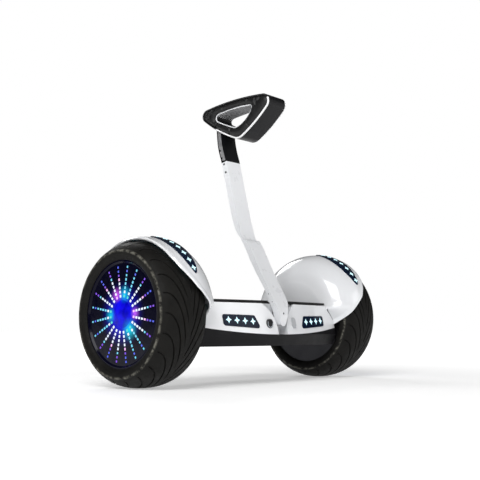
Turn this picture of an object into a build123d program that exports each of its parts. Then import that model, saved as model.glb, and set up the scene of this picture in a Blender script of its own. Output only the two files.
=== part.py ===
from build123d import *
import os
from math import cos, radians, sin, sqrt

# Self-balancing scooter with two hub-motor wheels and a knee-steered stem.
# Millimetres. X is the axle line (+X is the rider's left), -Y is the front,
# +Z is up, and the origin is on the ground under the middle of the axle.

os.makedirs("parts", exist_ok=True)

# ---- driving dimensions ----------------------------------------------------
wheel_radius = 127.0
axle_height = wheel_radius
track_half = 254.0
tyre_half_width = 52.0
rim_radius = 93.0
rim_wall = 6.0
magnet_count = 30
tooth_count = 27
axle_radius = 7.45
bearing_bore = 7.5
bearing_radius = 17.5
bearing_width = 11.0
led_spoke_count = 20
led_segments = 7

deck_top = 149.5
deck_thickness = 4.0
mat_travel = 1.2
mat_bottom = deck_top + mat_travel + 0.3
mat_top = 155.0
split_height = 92.0
body_half_depth = 113.4
body_lean = 0.22
body_bow = 0.0006
body_half_length = 197.0
shell_wall = 3.0
tub_bottom = 71.0
side_wall_x = 173.0
clamp_x = 132.0
clamp_pitch = (20, 32)
boss_pitch = (220, 150)
plunger_pitch = (200, 80)

fender_edge_x = 274.0
fender_wall = 3.0

pivot_height = 131.0
pivot_shaft_radius = 6.0
stem_half_width = 20.0
head_half_width = 30.0

axle_line = Axis((0, 0, axle_height), (1, 0, 0))


def mirrored(source):
    """The same piece on the other side of the scooter."""
    with BuildPart() as copy:
        mirror(source.part, about=Plane.YZ)
    return copy


# Section plane of the left wheel: local x points away from the chassis,
# local y is the radius.
wheel_section = Plane((track_half, 0, axle_height), (1, 0, 0), (0, -1, 0))


def wheel_face(offset):
    """Plane square to the axle, `offset` outboard of the left wheel's middle."""
    return Plane((track_half + offset, 0, axle_height), (0, 1, 0), (1, 0, 0))


# ---- wheels ----------------------------------------------------------------
with BuildPart() as left_tyre:
    with BuildSketch(wheel_section):
        with BuildLine():
            tread = Spline(
                (-46, rim_radius),
                (-tyre_half_width, 104),
                (-44, 117.5),
                (-24, 125.2),
                (0, wheel_radius),
                (24, 125.2),
                (44, 117.5),
                (tyre_half_width, 104),
                (46, rim_radius),
            )
            Line(tread @ 1, tread @ 0)
        make_face()
        with BuildLine():
            crown = ThreePointArc((-38, rim_radius), (0, 114), (38, rim_radius))
            Line(crown @ 1, crown @ 0)
        make_face(mode=Mode.SUBTRACT)
    revolve(axis=axle_line)
right_tyre = mirrored(left_tyre)

cover_step = 34.0
cover_face = 38.0
rim_edge = 40.0
with BuildPart() as left_rim:
    with BuildSketch(wheel_section):
        with BuildLine():
            Polyline(
                (-44, rim_radius),
                (-44, 24),
                (-48, 22),
                (-48, bearing_radius - 3),
                (-46.5, bearing_radius - 3),
                (-46.5, bearing_radius),
                (-34, bearing_radius),
                (-34, 24),
                (-38, 28),
                (-38, rim_radius - rim_wall),
                (cover_step, rim_radius - rim_wall),
                (cover_step, rim_radius - 4),
                (rim_edge, rim_radius - 4),
                (rim_edge, rim_radius),
                close=True,
            )
        make_face()
    revolve(axis=axle_line)
right_rim = mirrored(left_rim)

with BuildPart() as left_motor_cover:
    with BuildSketch(wheel_section):
        with BuildLine():
            Polyline(
                (cover_step, rim_radius - 4),
                (cover_face, rim_radius - 4),
                (cover_face, bearing_radius - 3),
                (36.5, bearing_radius - 3),
                (36.5, bearing_radius),
                (24, bearing_radius),
                (24, 23),
                (cover_step, 30),
                close=True,
            )
        make_face()
    revolve(axis=axle_line)
    with BuildSketch(wheel_face(cover_face)):
        with PolarLocations(81, 8):
            Circle(3)
    extrude(amount=-6, mode=Mode.SUBTRACT)
right_motor_cover = mirrored(left_motor_cover)

magnet_inner = 80.0
magnet_outer = 84.4
magnet_half_length = 17.0
with BuildPart() as left_magnet_ring:
    with BuildSketch(wheel_face(-magnet_half_length)):
        Circle(rim_radius - rim_wall)
        Circle(magnet_inner, mode=Mode.SUBTRACT)
        with PolarLocations((magnet_inner + magnet_outer) / 2 - 1, magnet_count):
            Rectangle(magnet_outer - magnet_inner + 2, 1.2, mode=Mode.SUBTRACT)
    extrude(amount=2 * magnet_half_length)
right_magnet_ring = mirrored(left_magnet_ring)

with BuildPart() as left_wheel_bearings:
    for bearing_start in (-46.5, 25.5):
        with BuildSketch(wheel_section):
            with Locations((bearing_start + bearing_width / 2, (bearing_bore + bearing_radius) / 2)):
                Rectangle(bearing_width, bearing_radius - bearing_bore)
            for shield in (bearing_start, bearing_start + bearing_width):
                with Locations((shield, (bearing_bore + bearing_radius) / 2)):
                    Rectangle(1.2, 5, mode=Mode.SUBTRACT)
        revolve(axis=axle_line)
right_wheel_bearings = mirrored(left_wheel_bearings)

disc_face = 42.0
disc_radius = 92.8
hub_radius = 24.0
with BuildPart() as left_led_disc:
    with BuildSketch(wheel_section):
        with BuildLine():
            Polyline(
                (cover_face, hub_radius),
                (cover_face, 86),
                (rim_edge, 88),
                (rim_edge, disc_radius),
                (45, disc_radius),
                (45, disc_radius - 2),
                (disc_face, disc_radius - 5),
                (disc_face, hub_radius),
                close=True,
            )
        make_face()
    revolve(axis=axle_line)
right_led_disc = mirrored(left_led_disc)

led_height = 0.8
led_inner = 28.0
led_outer = 85.0
with BuildPart() as left_led_spokes:
    with BuildSketch(wheel_face(disc_face)):
        for ring in range(led_segments):
            segment_pitch = (led_outer - led_inner) / led_segments
            with PolarLocations(led_inner + segment_pitch * (ring + 0.5), led_spoke_count, start_angle=9):
                Rectangle(segment_pitch * 0.7, 3)
    extrude(amount=led_height)
right_led_spokes = mirrored(left_led_spokes)

with BuildPart() as left_hub_diffuser:
    with BuildSketch(wheel_section):
        with BuildLine():
            dome = ThreePointArc((44, 0), (43.5, 12), (disc_face, hub_radius))
            Polyline(dome @ 1, (cover_face + 0.4, hub_radius), (cover_face + 0.4, 0), dome @ 0)
        make_face()
    revolve(axis=axle_line)
right_hub_diffuser = mirrored(left_hub_diffuser)

# ---- hub motors' still parts -------------------------------------------------
stator_half_length = 16.0
stator_bore = 30.0
stator_radius = 77.0
tooth_width = 6.0
yoke_radius = 45.0
shoe_radius = 73.0

with BuildPart() as left_stator:
    with BuildSketch(wheel_face(-stator_half_length)):
        Circle(yoke_radius)
        with PolarLocations((yoke_radius + shoe_radius) / 2, tooth_count):
            Rectangle(shoe_radius - yoke_radius + 4, tooth_width)
        Circle(stator_bore, mode=Mode.SUBTRACT)
    extrude(amount=2 * stator_half_length)
    with BuildSketch(wheel_face(-stator_half_length)):
        Circle(stator_radius)
        Circle(shoe_radius, mode=Mode.SUBTRACT)
        with PolarLocations(
            (stator_radius + shoe_radius) / 2, tooth_count, start_angle=180 / tooth_count
        ):
            Rectangle(6, 3, mode=Mode.SUBTRACT)
    extrude(amount=2 * stator_half_length)
right_stator = mirrored(left_stator)
with BuildPart() as stator_cores:
    add(left_stator.part)
    add(right_stator.part)

coil_wall = 2.4
coil_inner = 48.0
coil_outer = 70.0
with BuildPart() as left_coils:
    for tooth in range(tooth_count):
        turn = 360 / tooth_count * tooth
        tooth_plane = Plane(
            (track_half, 0, axle_height),
            (1, 0, 0),
            (0, cos(radians(turn)), sin(radians(turn))),
        ).offset(coil_inner)
        with BuildSketch(tooth_plane):
            RectangleRounded(2 * (stator_half_length + coil_wall), tooth_width + 2 * coil_wall, 2)
            Rectangle(2 * stator_half_length, tooth_width, mode=Mode.SUBTRACT)
        extrude(amount=coil_outer - coil_inner)
right_coils = mirrored(left_coils)
with BuildPart() as stator_windings:
    add(left_coils.part)
    add(right_coils.part)

axle_end_x = 112.0
with BuildPart() as left_axle:
    with BuildSketch(wheel_section):
        with BuildLine():
            Polyline(
                (axle_end_x - track_half, 0),
                (37.5, 0),
                (37.5, axle_radius),
                (20, axle_radius),
                (20, 12),
                (12, 12),
                (12, stator_bore),
                (-12, stator_bore),
                (-12, 12),
                (-33, 12),
                (-33, axle_radius),
                (-50, axle_radius),
                (-52, 8),
                (axle_end_x - track_half, 8),
                close=True,
            )
        make_face()
    revolve(axis=axle_line)
    with Locations((axle_end_x + 20, 0, axle_height + 8.5), (axle_end_x + 20, 0, axle_height - 8.5)):
        Box(48, 20, 4, mode=Mode.SUBTRACT)
right_axle = mirrored(left_axle)
with BuildPart() as axles:
    add(left_axle.part)
    add(right_axle.part)

# ---- body surfaces -----------------------------------------------------------
belly_taper = 0.35


def half_depth(height):
    """Half the body's depth on its middle line at one height."""
    if height > split_height:
        return body_half_depth - body_lean * (height - split_height)
    return body_half_depth - belly_taper * (split_height - height)


def body_solid(inset, heights, half_length=body_half_length):
    """Bowed solid of the body, `inset` under its skin, lofted through some heights."""
    with BuildPart() as solid:
        for height in heights:
            depth = half_depth(height) - inset
            corner = depth - body_bow * half_length**2
            with BuildSketch(Plane.XY.offset(height)):
                with BuildLine():
                    ThreePointArc((-half_length, -corner), (0, -depth), (half_length, -corner))
                    Line((half_length, -corner), (half_length, corner))
                    ThreePointArc((half_length, corner), (0, depth), (-half_length, corner))
                    Line((-half_length, corner), (-half_length, -corner))
                make_face()
        loft(ruled=True)
    return solid.part


# The upper and lower shells meet along a line that curves up at both ends.
smile_rise = 14.0
with BuildPart() as upper_region:
    with BuildSketch(Plane.XZ.offset(-200)):
        with BuildLine():
            seam = ThreePointArc(
                (-body_half_length - 5, split_height + smile_rise),
                (0, split_height),
                (body_half_length + 5, split_height + smile_rise),
            )
            Polyline(seam @ 1, (body_half_length + 5, 300), (-body_half_length - 5, 300), seam @ 0)
        make_face()
    extrude(amount=400)

# The recess in the front that the stem's foot swings in.
recess_floor = 91.0


def recess_block(grow):
    """Funnel-shaped space round the stem's foot, `grow` larger all round."""
    with BuildPart() as block:
        with BuildSketch(Plane.XZ.offset(recess_floor - grow)):
            with BuildLine():
                funnel = Spline(
                    (14 + grow, 86),
                    (15 + grow, 108),
                    (20 + grow, 124),
                    (32 + grow, 138),
                    (50 + grow, 152),
                )
                Polyline(funnel @ 1, (50 + grow, 160), (0, 160), (0, 86), funnel @ 0)
            make_face()
            mirror(about=Plane.YZ)
        extrude(amount=40)
    return block.part


# Lamp openings, seen from the front.
lamp_corners = [(147, 128.5), (72, 127), (59, 102.5), (146, 108)]
tail_corners = [(150, 126), (90, 125), (90, 112), (150, 114)]


def lamp_prism(corners, inset, facing):
    """Prisms through a lamp's opening at both ends of the body; facing is 1 in front."""
    with BuildPart() as prism:
        with BuildSketch(Plane.XZ.offset(facing * 60)):
            with BuildLine():
                Polyline(*corners, close=True)
            make_face()
            fillet(vertices(), 5)
            offset(amount=-inset, mode=Mode.REPLACE)
            mirror(about=Plane.YZ)
        extrude(amount=facing * 80)
    return prism.part


front = 1
rear = -1
body_heights = (split_height, deck_top)

# ---- white covers ------------------------------------------------------------
flange_reach = 84.0
seam_foot = (body_half_length, 121)
seam_top = (166, deck_top)

with BuildPart() as fascia_region:
    with BuildSketch(Plane.XZ.offset(-200)):
        with BuildLine():
            Polyline((0, 80), (body_half_length, 80), seam_foot, seam_top, (0, deck_top), close=True)
        make_face()
        mirror(about=Plane.YZ)
    extrude(amount=400)

with BuildPart() as body_skin:
    add(body_solid(0, body_heights))
    add(body_solid(shell_wall, (split_height, deck_top - shell_wall)), mode=Mode.SUBTRACT)
    with Locations((0, 0, 120)):
        Box(500, 2 * flange_reach, 120, mode=Mode.SUBTRACT)
    add(upper_region.part, mode=Mode.INTERSECT)

with BuildPart() as recess_lining:
    add(recess_block(shell_wall))
    add(body_solid(0, body_heights), mode=Mode.INTERSECT)
    add(upper_region.part, mode=Mode.INTERSECT)

port_x = 35.0
port_height = 114.0
button_height = 112.0
button_radius = 8.5
slot_run = 8.0
lean_angle = 12.4
port_plane = Plane(
    (port_x, -half_depth(port_height) + body_bow * port_x**2, port_height),
    (1, 0, 0),
    (0, -cos(radians(lean_angle)), sin(radians(lean_angle))),
)

with BuildPart() as front_fascia:
    add(body_skin.part)
    add(fascia_region.part, mode=Mode.INTERSECT)
    with Locations((0, 150, 120)):
        Box(500, 300, 200, mode=Mode.SUBTRACT)
    add(recess_lining.part)
    add(recess_block(0), mode=Mode.SUBTRACT)
    add(lamp_prism(lamp_corners, 0, front), mode=Mode.SUBTRACT)
    with BuildSketch(Plane.XZ.offset(80)):
        with Locations((-port_x, button_height)):
            Circle(button_radius + 0.5)
        with Locations((0, pivot_height)):
            Circle(pivot_shaft_radius + 1)
    extrude(amount=50, mode=Mode.SUBTRACT)
    with BuildSketch(port_plane.offset(-20)):
        SlotCenterToCenter(slot_run, 10.4, rotation=90)
    extrude(amount=30, mode=Mode.SUBTRACT)

with BuildPart() as rear_fascia:
    add(body_skin.part)
    add(fascia_region.part, mode=Mode.INTERSECT)
    with Locations((0, -150, 120)):
        Box(500, 300, 200, mode=Mode.SUBTRACT)
    add(lamp_prism(tail_corners, 0, rear), mode=Mode.SUBTRACT)

deck_half_length = side_wall_x - 0.5
rail_top = 140.0
with BuildPart() as deck:
    with BuildSketch(Plane.XY.offset(deck_top - deck_thickness)):
        Rectangle(2 * deck_half_length, 2 * flange_reach - 0.4)
        with GridLocations(*plunger_pitch, 2, 2):
            Circle(5.5, mode=Mode.SUBTRACT)
    extrude(amount=deck_thickness)
    with BuildSketch(Plane.XY.offset(rail_top)):
        with GridLocations(300, 120, 2, 2):
            Circle(4)
        with GridLocations(80, 120, 2, 2):
            Circle(4)
    extrude(amount=deck_top - deck_thickness - rail_top)

# Lower tub, with its end walls stepped in beside the wheels.
tub_rim = 107.0
step_x = 179.0
rail_bottom = 106.0


def stepped(inset, heights):
    """Body solid with its ends cut back between the front and rear corners."""
    with BuildPart() as solid:
        add(body_solid(inset, heights, body_half_length - inset))
        for x_sign in (-1, 1):
            with Locations((x_sign * (step_x - inset + 50), 0, 90)):
                Box(100, 2 * (flange_reach + inset), 100, mode=Mode.SUBTRACT)
    return solid.part


with BuildPart() as lower_shell:
    add(stepped(0, (tub_bottom, split_height, tub_rim)))
    add(stepped(shell_wall, (tub_bottom + shell_wall, split_height, tub_rim)), mode=Mode.SUBTRACT)
    add(upper_region.part, mode=Mode.SUBTRACT)
    with BuildSketch(Plane.XY.offset(tub_bottom)):
        with GridLocations(*boss_pitch, 2, 2):
            Circle(5)
    extrude(amount=rail_bottom - tub_bottom)
    with BuildSketch(Plane.XY.offset(tub_bottom)):
        with GridLocations(*boss_pitch, 2, 2):
            Circle(4)
    extrude(amount=4, mode=Mode.SUBTRACT)
    with BuildSketch(Plane.XY.offset(tub_bottom)):
        with GridLocations(*boss_pitch, 2, 2):
            Circle(2)
    extrude(amount=40, mode=Mode.SUBTRACT)

# ---- fenders -------------------------------------------------------------------
# Section plane of the fenders: local x is |X|, local y the radius about the axle.
fender_section = Plane((0, 0, axle_height), (1, 0, 0), (0, -1, 0))


def fender_line(inset):
    """Points of the fender's section, `inset` under its outer skin."""
    return [
        (side_wall_x + inset, 72),
        (180 + 0.95 * inset, 101 - 0.4 * inset),
        (197 + 0.75 * inset, 122 - 0.7 * inset),
        (224 + 0.3 * inset, 134.5 - inset),
        (250, 136.5 - inset),
        (fender_edge_x, 133.5 - inset),
    ]


fender_foot = 147.0
with BuildPart() as fender_view:
    with BuildSketch(Plane.XZ.offset(-200)):
        with BuildLine():
            wheel_arch = Spline(
                (fender_edge_x + 1, 236),
                (268, 206),
                (256, 186),
                (238, 165),
                (216, fender_foot),
            )
            Polyline(
                wheel_arch @ 1,
                (side_wall_x - 1, fender_foot),
                (side_wall_x - 1, 280),
                (fender_edge_x + 1, 280),
                wheel_arch @ 0,
            )
        make_face()
    extrude(amount=400)

with BuildPart() as fender_hood:
    with BuildSketch(fender_section):
        with BuildLine():
            outside = Spline(*fender_line(0))
            inside = Spline(*fender_line(fender_wall))
            Line(outside @ 1, inside @ 1)
            Polyline(inside @ 0, (side_wall_x + fender_wall, 20), (side_wall_x, 20), outside @ 0)
        make_face()
    revolve(axis=axle_line)
    add(fender_view.part, mode=Mode.INTERSECT)

# Flat underside that joins the hood to the body's corners.
shelf_outer_x = 199.0
with BuildPart() as fender_shelf:
    with BuildSketch(fender_section):
        with BuildLine():
            outside = Spline(*fender_line(0.5))
            Polyline(outside @ 1, (fender_edge_x, 0), (side_wall_x, 0), outside @ 0)
        make_face()
    revolve(axis=axle_line)
    with Locations(((side_wall_x + shelf_outer_x) / 2, 0, fender_foot + 1.5)):
        Box(shelf_outer_x - side_wall_x, 300, 3, mode=Mode.INTERSECT)

# Corners of the body outboard of the fascias' slanted seams.
with BuildPart() as fender_cheeks:
    add(body_skin.part)
    add(fascia_region.part, mode=Mode.SUBTRACT)
    with Locations((-250, 0, 120)):
        Box(500, 400, 200, mode=Mode.SUBTRACT)

# Leaf-shaped lamp on each fender, laid out in a plane square to the radius at its middle.
leaf_angle = 57.0
leaf_plane = Plane(
    (0, -120 * cos(radians(leaf_angle)), axle_height + 120 * sin(radians(leaf_angle))),
    (1, 0, 0),
    (0, -cos(radians(leaf_angle)), sin(radians(leaf_angle))),
)
# Stations along the leaf: place along it, middle and half-width.
leaf_stations = [(40, 239.5, 12.5), (5, 238, 15.5), (-35, 236.5, 11.5)]
leaf_tip = (241, 69)
leaf_root = (236, -63)


def leaf_prism(inset):
    """Prism through the leaf-shaped opening, `inset` inside its edge."""
    inner_side = [(middle - half + inset, place) for place, middle, half in leaf_stations]
    outer_side = [(middle + half - inset, place) for place, middle, half in leaf_stations]
    tip = (leaf_tip[0], leaf_tip[1] - 2 * inset)
    root = (leaf_root[0], leaf_root[1] + inset)
    with BuildPart() as prism:
        with BuildSketch(leaf_plane.offset(-30)):
            with BuildLine():
                Spline(tip, *inner_side, root, *reversed(outer_side), tip)
            make_face()
        extrude(amount=80)
    return prism.part


def fender_layer(outer_inset, inner_inset):
    """Ring between two depths under the fender's skin."""
    with BuildPart() as layer:
        with BuildSketch(fender_section):
            with BuildLine():
                outside = Spline(*fender_line(outer_inset))
                inside = Spline(*fender_line(inner_inset))
                Line(outside @ 1, inside @ 1)
                Line(outside @ 0, inside @ 0)
            make_face()
        revolve(axis=axle_line)
    return layer.part


with BuildPart() as left_fender_lens:
    add(fender_layer(-1.8, 0))
    add(leaf_prism(0.2), mode=Mode.INTERSECT)

with BuildPart() as left_fender_led_strip:
    add(fender_layer(1.4, fender_wall - 0.2))
    add(leaf_prism(4), mode=Mode.INTERSECT)
with BuildPart() as left_fender_led_chips:
    with BuildSketch(leaf_plane.offset(-30)):
        with Locations(*[(237, -48 + 14.5 * chip) for chip in range(7)]):
            Rectangle(6, 6)
    extrude(amount=80)
    add(fender_layer(0.2, 1.4), mode=Mode.INTERSECT)
with BuildPart() as left_fender_leds:
    add(left_fender_led_strip.part)
    add(left_fender_led_chips.part)

with BuildPart() as left_fender:
    add(fender_hood.part)
    add(fender_shelf.part)
    add(fender_cheeks.part)
    with Locations((side_wall_x + fender_wall / 2, 0, (tub_rim + fender_foot) / 2 + 1)):
        Box(fender_wall, 2 * flange_reach, fender_foot - tub_rim + 2)
    with BuildSketch(Plane.YZ.offset(side_wall_x - 1)):
        with Locations((0, axle_height)):
            Circle(9)
    extrude(amount=8, mode=Mode.SUBTRACT)
    add(leaf_prism(0), mode=Mode.SUBTRACT)

right_fender = mirrored(left_fender)
right_fender_lens = mirrored(left_fender_lens)
right_fender_leds = mirrored(left_fender_leds)
with BuildPart() as fender_led_strips:
    add(left_fender_leds.part)
    add(right_fender_leds.part)

# ---- foot mats -------------------------------------------------------------------
mat_inner_x = 28.0
mat_outer_x = 170.0
plunger_low = 145.3
with BuildPart() as left_foot_mat:
    add(body_solid(1.5, (mat_bottom, mat_top)))
    with Locations(((mat_inner_x + mat_outer_x) / 2, 0, mat_bottom)):
        Box(mat_outer_x - mat_inner_x, 300, 20, mode=Mode.INTERSECT)
    with BuildSketch(Plane.XY.offset(plunger_low)):
        with Locations(*[(plunger_pitch[0] / 2, side * plunger_pitch[1] / 2) for side in (-1, 1)]):
            Circle(5)
    extrude(amount=mat_bottom - plunger_low)
right_foot_mat = mirrored(left_foot_mat)

# ---- lamps in the body -------------------------------------------------------------
lens_proud = 0.8
lens_depth = 2.0


def body_layer(outer_inset, inner_inset):
    """Layer of the body between two depths under its skin."""
    with BuildPart() as layer:
        add(body_solid(outer_inset, body_heights))
        add(body_solid(inner_inset, body_heights), mode=Mode.SUBTRACT)
    return layer.part


with BuildPart() as headlight_lenses:
    add(body_layer(-lens_proud, lens_depth))
    add(lamp_prism(lamp_corners, 0.2, front), mode=Mode.INTERSECT)
with BuildPart() as tail_light_lenses:
    add(body_layer(-lens_proud, lens_depth))
    add(lamp_prism(tail_corners, 0.2, rear), mode=Mode.INTERSECT)
with BuildPart() as front_light_boards:
    add(body_layer(lens_depth, lens_depth + 1.6))
    add(lamp_prism(lamp_corners, 3, front), mode=Mode.INTERSECT)
with BuildPart() as rear_light_boards:
    add(body_layer(lens_depth, lens_depth + 1.6))
    add(lamp_prism(tail_corners, 3, rear), mode=Mode.INTERSECT)
with BuildPart() as light_boards:
    add(front_light_boards.part)
    add(rear_light_boards.part)

# ---- power button and charge port -----------------------------------------------
button_travel = 1.5
collar_back = 101.0
plug_radius = 4.0
with BuildPart() as power_button:
    with BuildSketch(Plane.XZ.offset(collar_back + 1)):
        with Locations((-port_x, button_height)):
            Circle(button_radius)
    extrude(amount=8.5)
    fillet(edges().group_by(Axis.Y)[0], 1)
    with BuildSketch(Plane.XZ.offset(collar_back)):
        with Locations((-port_x, button_height)):
            Circle(button_radius + 1.5)
    extrude(amount=1.4)

with BuildPart() as charge_socket:
    with BuildSketch(port_plane.offset(-12)):
        SlotCenterToCenter(slot_run, 10.2, rotation=90)
    extrude(amount=11.4)
    with BuildSketch(port_plane.offset(-10)):
        Circle(plug_radius)
        Circle(1.2, mode=Mode.SUBTRACT)
    extrude(amount=10, mode=Mode.SUBTRACT)

flap_width = 11.6
flap_lift = 0.6
with BuildPart() as charge_flap:
    with BuildSketch(port_plane.offset(flap_lift)):
        SlotCenterToCenter(slot_run, flap_width, rotation=90)
    extrude(amount=1.6)
    fillet(edges().group_by(Axis.Y)[0], 0.6)
    hinge_start = port_plane.from_local_coords((-3, -(slot_run + flap_width) / 2, flap_lift + 1))
    with BuildSketch(Plane(hinge_start, (0, 1, 0), (1, 0, 0))):
        Circle(1)
    extrude(amount=6)

# ---- frame, clamps, battery and boards ----------------------------------------------
rail_depth = 78.0
saddle = (112.0, 166.0)
with BuildPart() as frame:
    with Locations((0, 0, 137.5)):
        Box(336, 2 * rail_depth, 5)
    for y_sign in (-1, 1):
        with Locations((0, y_sign * 75, (rail_bottom + 135) / 2)):
            Box(250, 6, 135 - rail_bottom)
    for x in (-125, -108, 108, 125):
        with Locations((x, 0, 131)):
            Box(5, 2 * rail_depth, 8)
    for x_sign in (-1, 1):
        with Locations((x_sign * sum(saddle) / 2, 0, 131.5)):
            Box(saddle[1] - saddle[0], 44, 9)
    with BuildSketch(Plane.YZ.offset(-170)):
        with Locations((0, axle_height)):
            Circle(8)
    extrude(amount=340, mode=Mode.SUBTRACT)
    with Locations((0, -75, 115)):
        Box(68, 20, 40, mode=Mode.SUBTRACT)
    with Locations((0, -60, 120)):
        Box(42, 38, 50, mode=Mode.SUBTRACT)
    with BuildSketch(Plane.XY.offset(124)):
        for x_sign in (-1, 1):
            with Locations((x_sign * clamp_x, 0)):
                with GridLocations(*clamp_pitch, 2, 2):
                    Circle(3)
    extrude(amount=8, mode=Mode.SUBTRACT)
    with BuildSketch(Plane.XY.offset(rail_bottom)):
        with GridLocations(*boss_pitch, 2, 2):
            Circle(2)
    extrude(amount=12, mode=Mode.SUBTRACT)

clamp_bottom = 113.0
with BuildPart() as axle_clamps:
    for x_sign in (-1, 1):
        with Locations((x_sign * clamp_x, 0, (clamp_bottom + axle_height) / 2)):
            Box(32, 44, axle_height - clamp_bottom)
    with BuildSketch(Plane.YZ.offset(-170)):
        with Locations((0, axle_height)):
            Circle(8)
    extrude(amount=340, mode=Mode.SUBTRACT)
    with BuildSketch(Plane.XY.offset(clamp_bottom)):
        for x_sign in (-1, 1):
            with Locations((x_sign * clamp_x, 0)):
                with GridLocations(*clamp_pitch, 2, 2):
                    Circle(3)
    extrude(amount=20, mode=Mode.SUBTRACT)

with BuildPart() as chassis_screws:
    with BuildSketch(Plane.XY.offset(clamp_bottom)):
        for x_sign in (-1, 1):
            with Locations((x_sign * clamp_x, 0)):
                with GridLocations(*clamp_pitch, 2, 2):
                    Circle(3)
    extrude(amount=18)
    with BuildSketch(Plane.XY.offset(clamp_bottom - 4)):
        for x_sign in (-1, 1):
            with Locations((x_sign * clamp_x, 0)):
                with GridLocations(*clamp_pitch, 2, 2):
                    Circle(5)
                    RegularPolygon(2.5, 6, mode=Mode.SUBTRACT)
    extrude(amount=4)
    with BuildSketch(Plane.XY.offset(tub_bottom + 4)):
        with GridLocations(*boss_pitch, 2, 2):
            Circle(2)
    extrude(amount=rail_bottom + 10 - tub_bottom - 4)
    with BuildSketch(Plane.XY.offset(tub_bottom + 1.5)):
        with GridLocations(*boss_pitch, 2, 2):
            Circle(3.6)
            RegularPolygon(1.8, 6, mode=Mode.SUBTRACT)
    extrude(amount=2.5)

with BuildPart() as battery_pack:
    with Locations((0, 0, 93)):
        Box(190, 70, 37)
    fillet(edges().filter_by(Axis.X), 6)
    with Locations((95, 0, 93)):
        Box(6, 22, 12)

with BuildPart() as controller_board:
    with Locations((0, 0, 119.8)):
        Box(130, 70, 1.6)
    with BuildSketch(Plane.XY.offset(120.6)):
        with GridLocations(18, 60, 6, 2):
            Rectangle(10, 5)
        with Locations((-10, 0), (5, 0)):
            Circle(6)
        with Locations((30, 0)):
            Rectangle(14, 14)
    extrude(amount=12)

with BuildPart() as sensor_boards:
    for x_sign in (-1, 1):
        with Locations((x_sign * plunger_pitch[0] / 2, 0, rail_top + 0.8)):
            Box(24, 100, 1.6)
    with BuildSketch(Plane.XY.offset(rail_top + 1.6)):
        with GridLocations(*plunger_pitch, 2, 2):
            Circle(4)
    extrude(amount=2.2)
    with Locations((0, -40.2, 124)):
        Box(24, 1.6, 14)
    with Locations((-port_x, button_travel + 4 - collar_back, button_height)):
        Box(13, 7, 13)

# ---- stem pivot ------------------------------------------------------------------
housing_front = -87.5
housing_rear = -60.0
with BuildPart() as pivot_housing:
    with Locations((0, (housing_front + housing_rear) / 2, 124.5)):
        Box(40, housing_rear - housing_front, 21)
    with Locations((0, (housing_front + housing_rear) / 2, 132)):
        Box(64, housing_rear - housing_front, 6)
    for x_sign in (-1, 1):
        with Locations((x_sign * 18, -55, 119)):
            Box(4, 10, 32)
        with Locations((x_sign * 13.4, -55, 110)):
            Box(5.2, 6, 10)
    with BuildSketch(Plane.XZ.offset(50)):
        with Locations((0, pivot_height)):
            Circle(9)
    extrude(amount=50, mode=Mode.SUBTRACT)

with BuildPart() as pivot_bushings:
    with BuildSketch(Plane.XZ.offset(-housing_rear)):
        with Locations((0, pivot_height)):
            Circle(9)
            Circle(pivot_shaft_radius + 0.05, mode=Mode.SUBTRACT)
    extrude(amount=8)
    with BuildSketch(Plane.XZ.offset(-housing_front - 8)):
        with Locations((0, pivot_height)):
            Circle(9)
            Circle(pivot_shaft_radius + 0.05, mode=Mode.SUBTRACT)
    extrude(amount=8)

bolt_radius = 2.2
with BuildPart() as pivot_shaft:
    with BuildSketch(Plane.XZ.offset(44)):
        with Locations((0, pivot_height)):
            Circle(pivot_shaft_radius)
    extrude(amount=64)
    with BuildSketch(Plane.XZ.offset(98)):
        with Locations((0, pivot_height)):
            Circle(bolt_radius)
    extrude(amount=12, mode=Mode.SUBTRACT)

with BuildPart() as stem_lever:
    with BuildSketch(Plane.XZ.offset(52)):
        with Locations((0, pivot_height)):
            Circle(10)
        with Locations((0, 118)):
            Rectangle(10, 26)
        with Locations((0, pivot_height)):
            Circle(pivot_shaft_radius, mode=Mode.SUBTRACT)
    extrude(amount=6)

with BuildPart() as centring_spring:
    with BuildLine():
        coil = Helix(2, 7, 8, center=(0, -50, pivot_height), direction=(0, 1, 0))
    with BuildSketch(Plane(coil @ 0, z_dir=coil % 0)):
        Circle(0.8)
    sweep(path=coil, is_frenet=True)

# ---- stem --------------------------------------------------------------------------
slide_tilt = 14.0
stem_thickness = 14.0
stem_top_front = Vector(17, 439)
socket_depth = 75.0
slide_run = Vector(sin(radians(slide_tilt)), cos(radians(slide_tilt)))
across = Vector(cos(radians(slide_tilt)), -sin(radians(slide_tilt)))
stem_top_rear = stem_top_front + across * stem_thickness
slide_middle = stem_top_front + across * (stem_thickness / 2)
slide_plane = Plane(
    (0, slide_middle.X, slide_middle.Y),
    (1, 0, 0),
    (0, sin(radians(slide_tilt)), cos(radians(slide_tilt))),
)
straight_low = stem_top_front - slide_run * socket_depth
straight_low_rear = stem_top_rear - slide_run * socket_depth

foot_bottom = 107.5
with BuildPart() as stem_front_view:
    with BuildSketch(Plane.XZ.offset(-100)):
        with BuildLine():
            flank = Spline(
                (0, foot_bottom),
                (8.6, 116),
                (12.5, pivot_height),
                (18, 148),
                (stem_half_width, 165),
                tangents=((1, 0), (0, 1)),
            )
            Polyline(flank @ 1, (stem_half_width, 460), (0, 460), flank @ 0)
        make_face()
        mirror(about=Plane.YZ)
    extrude(amount=260)

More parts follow.
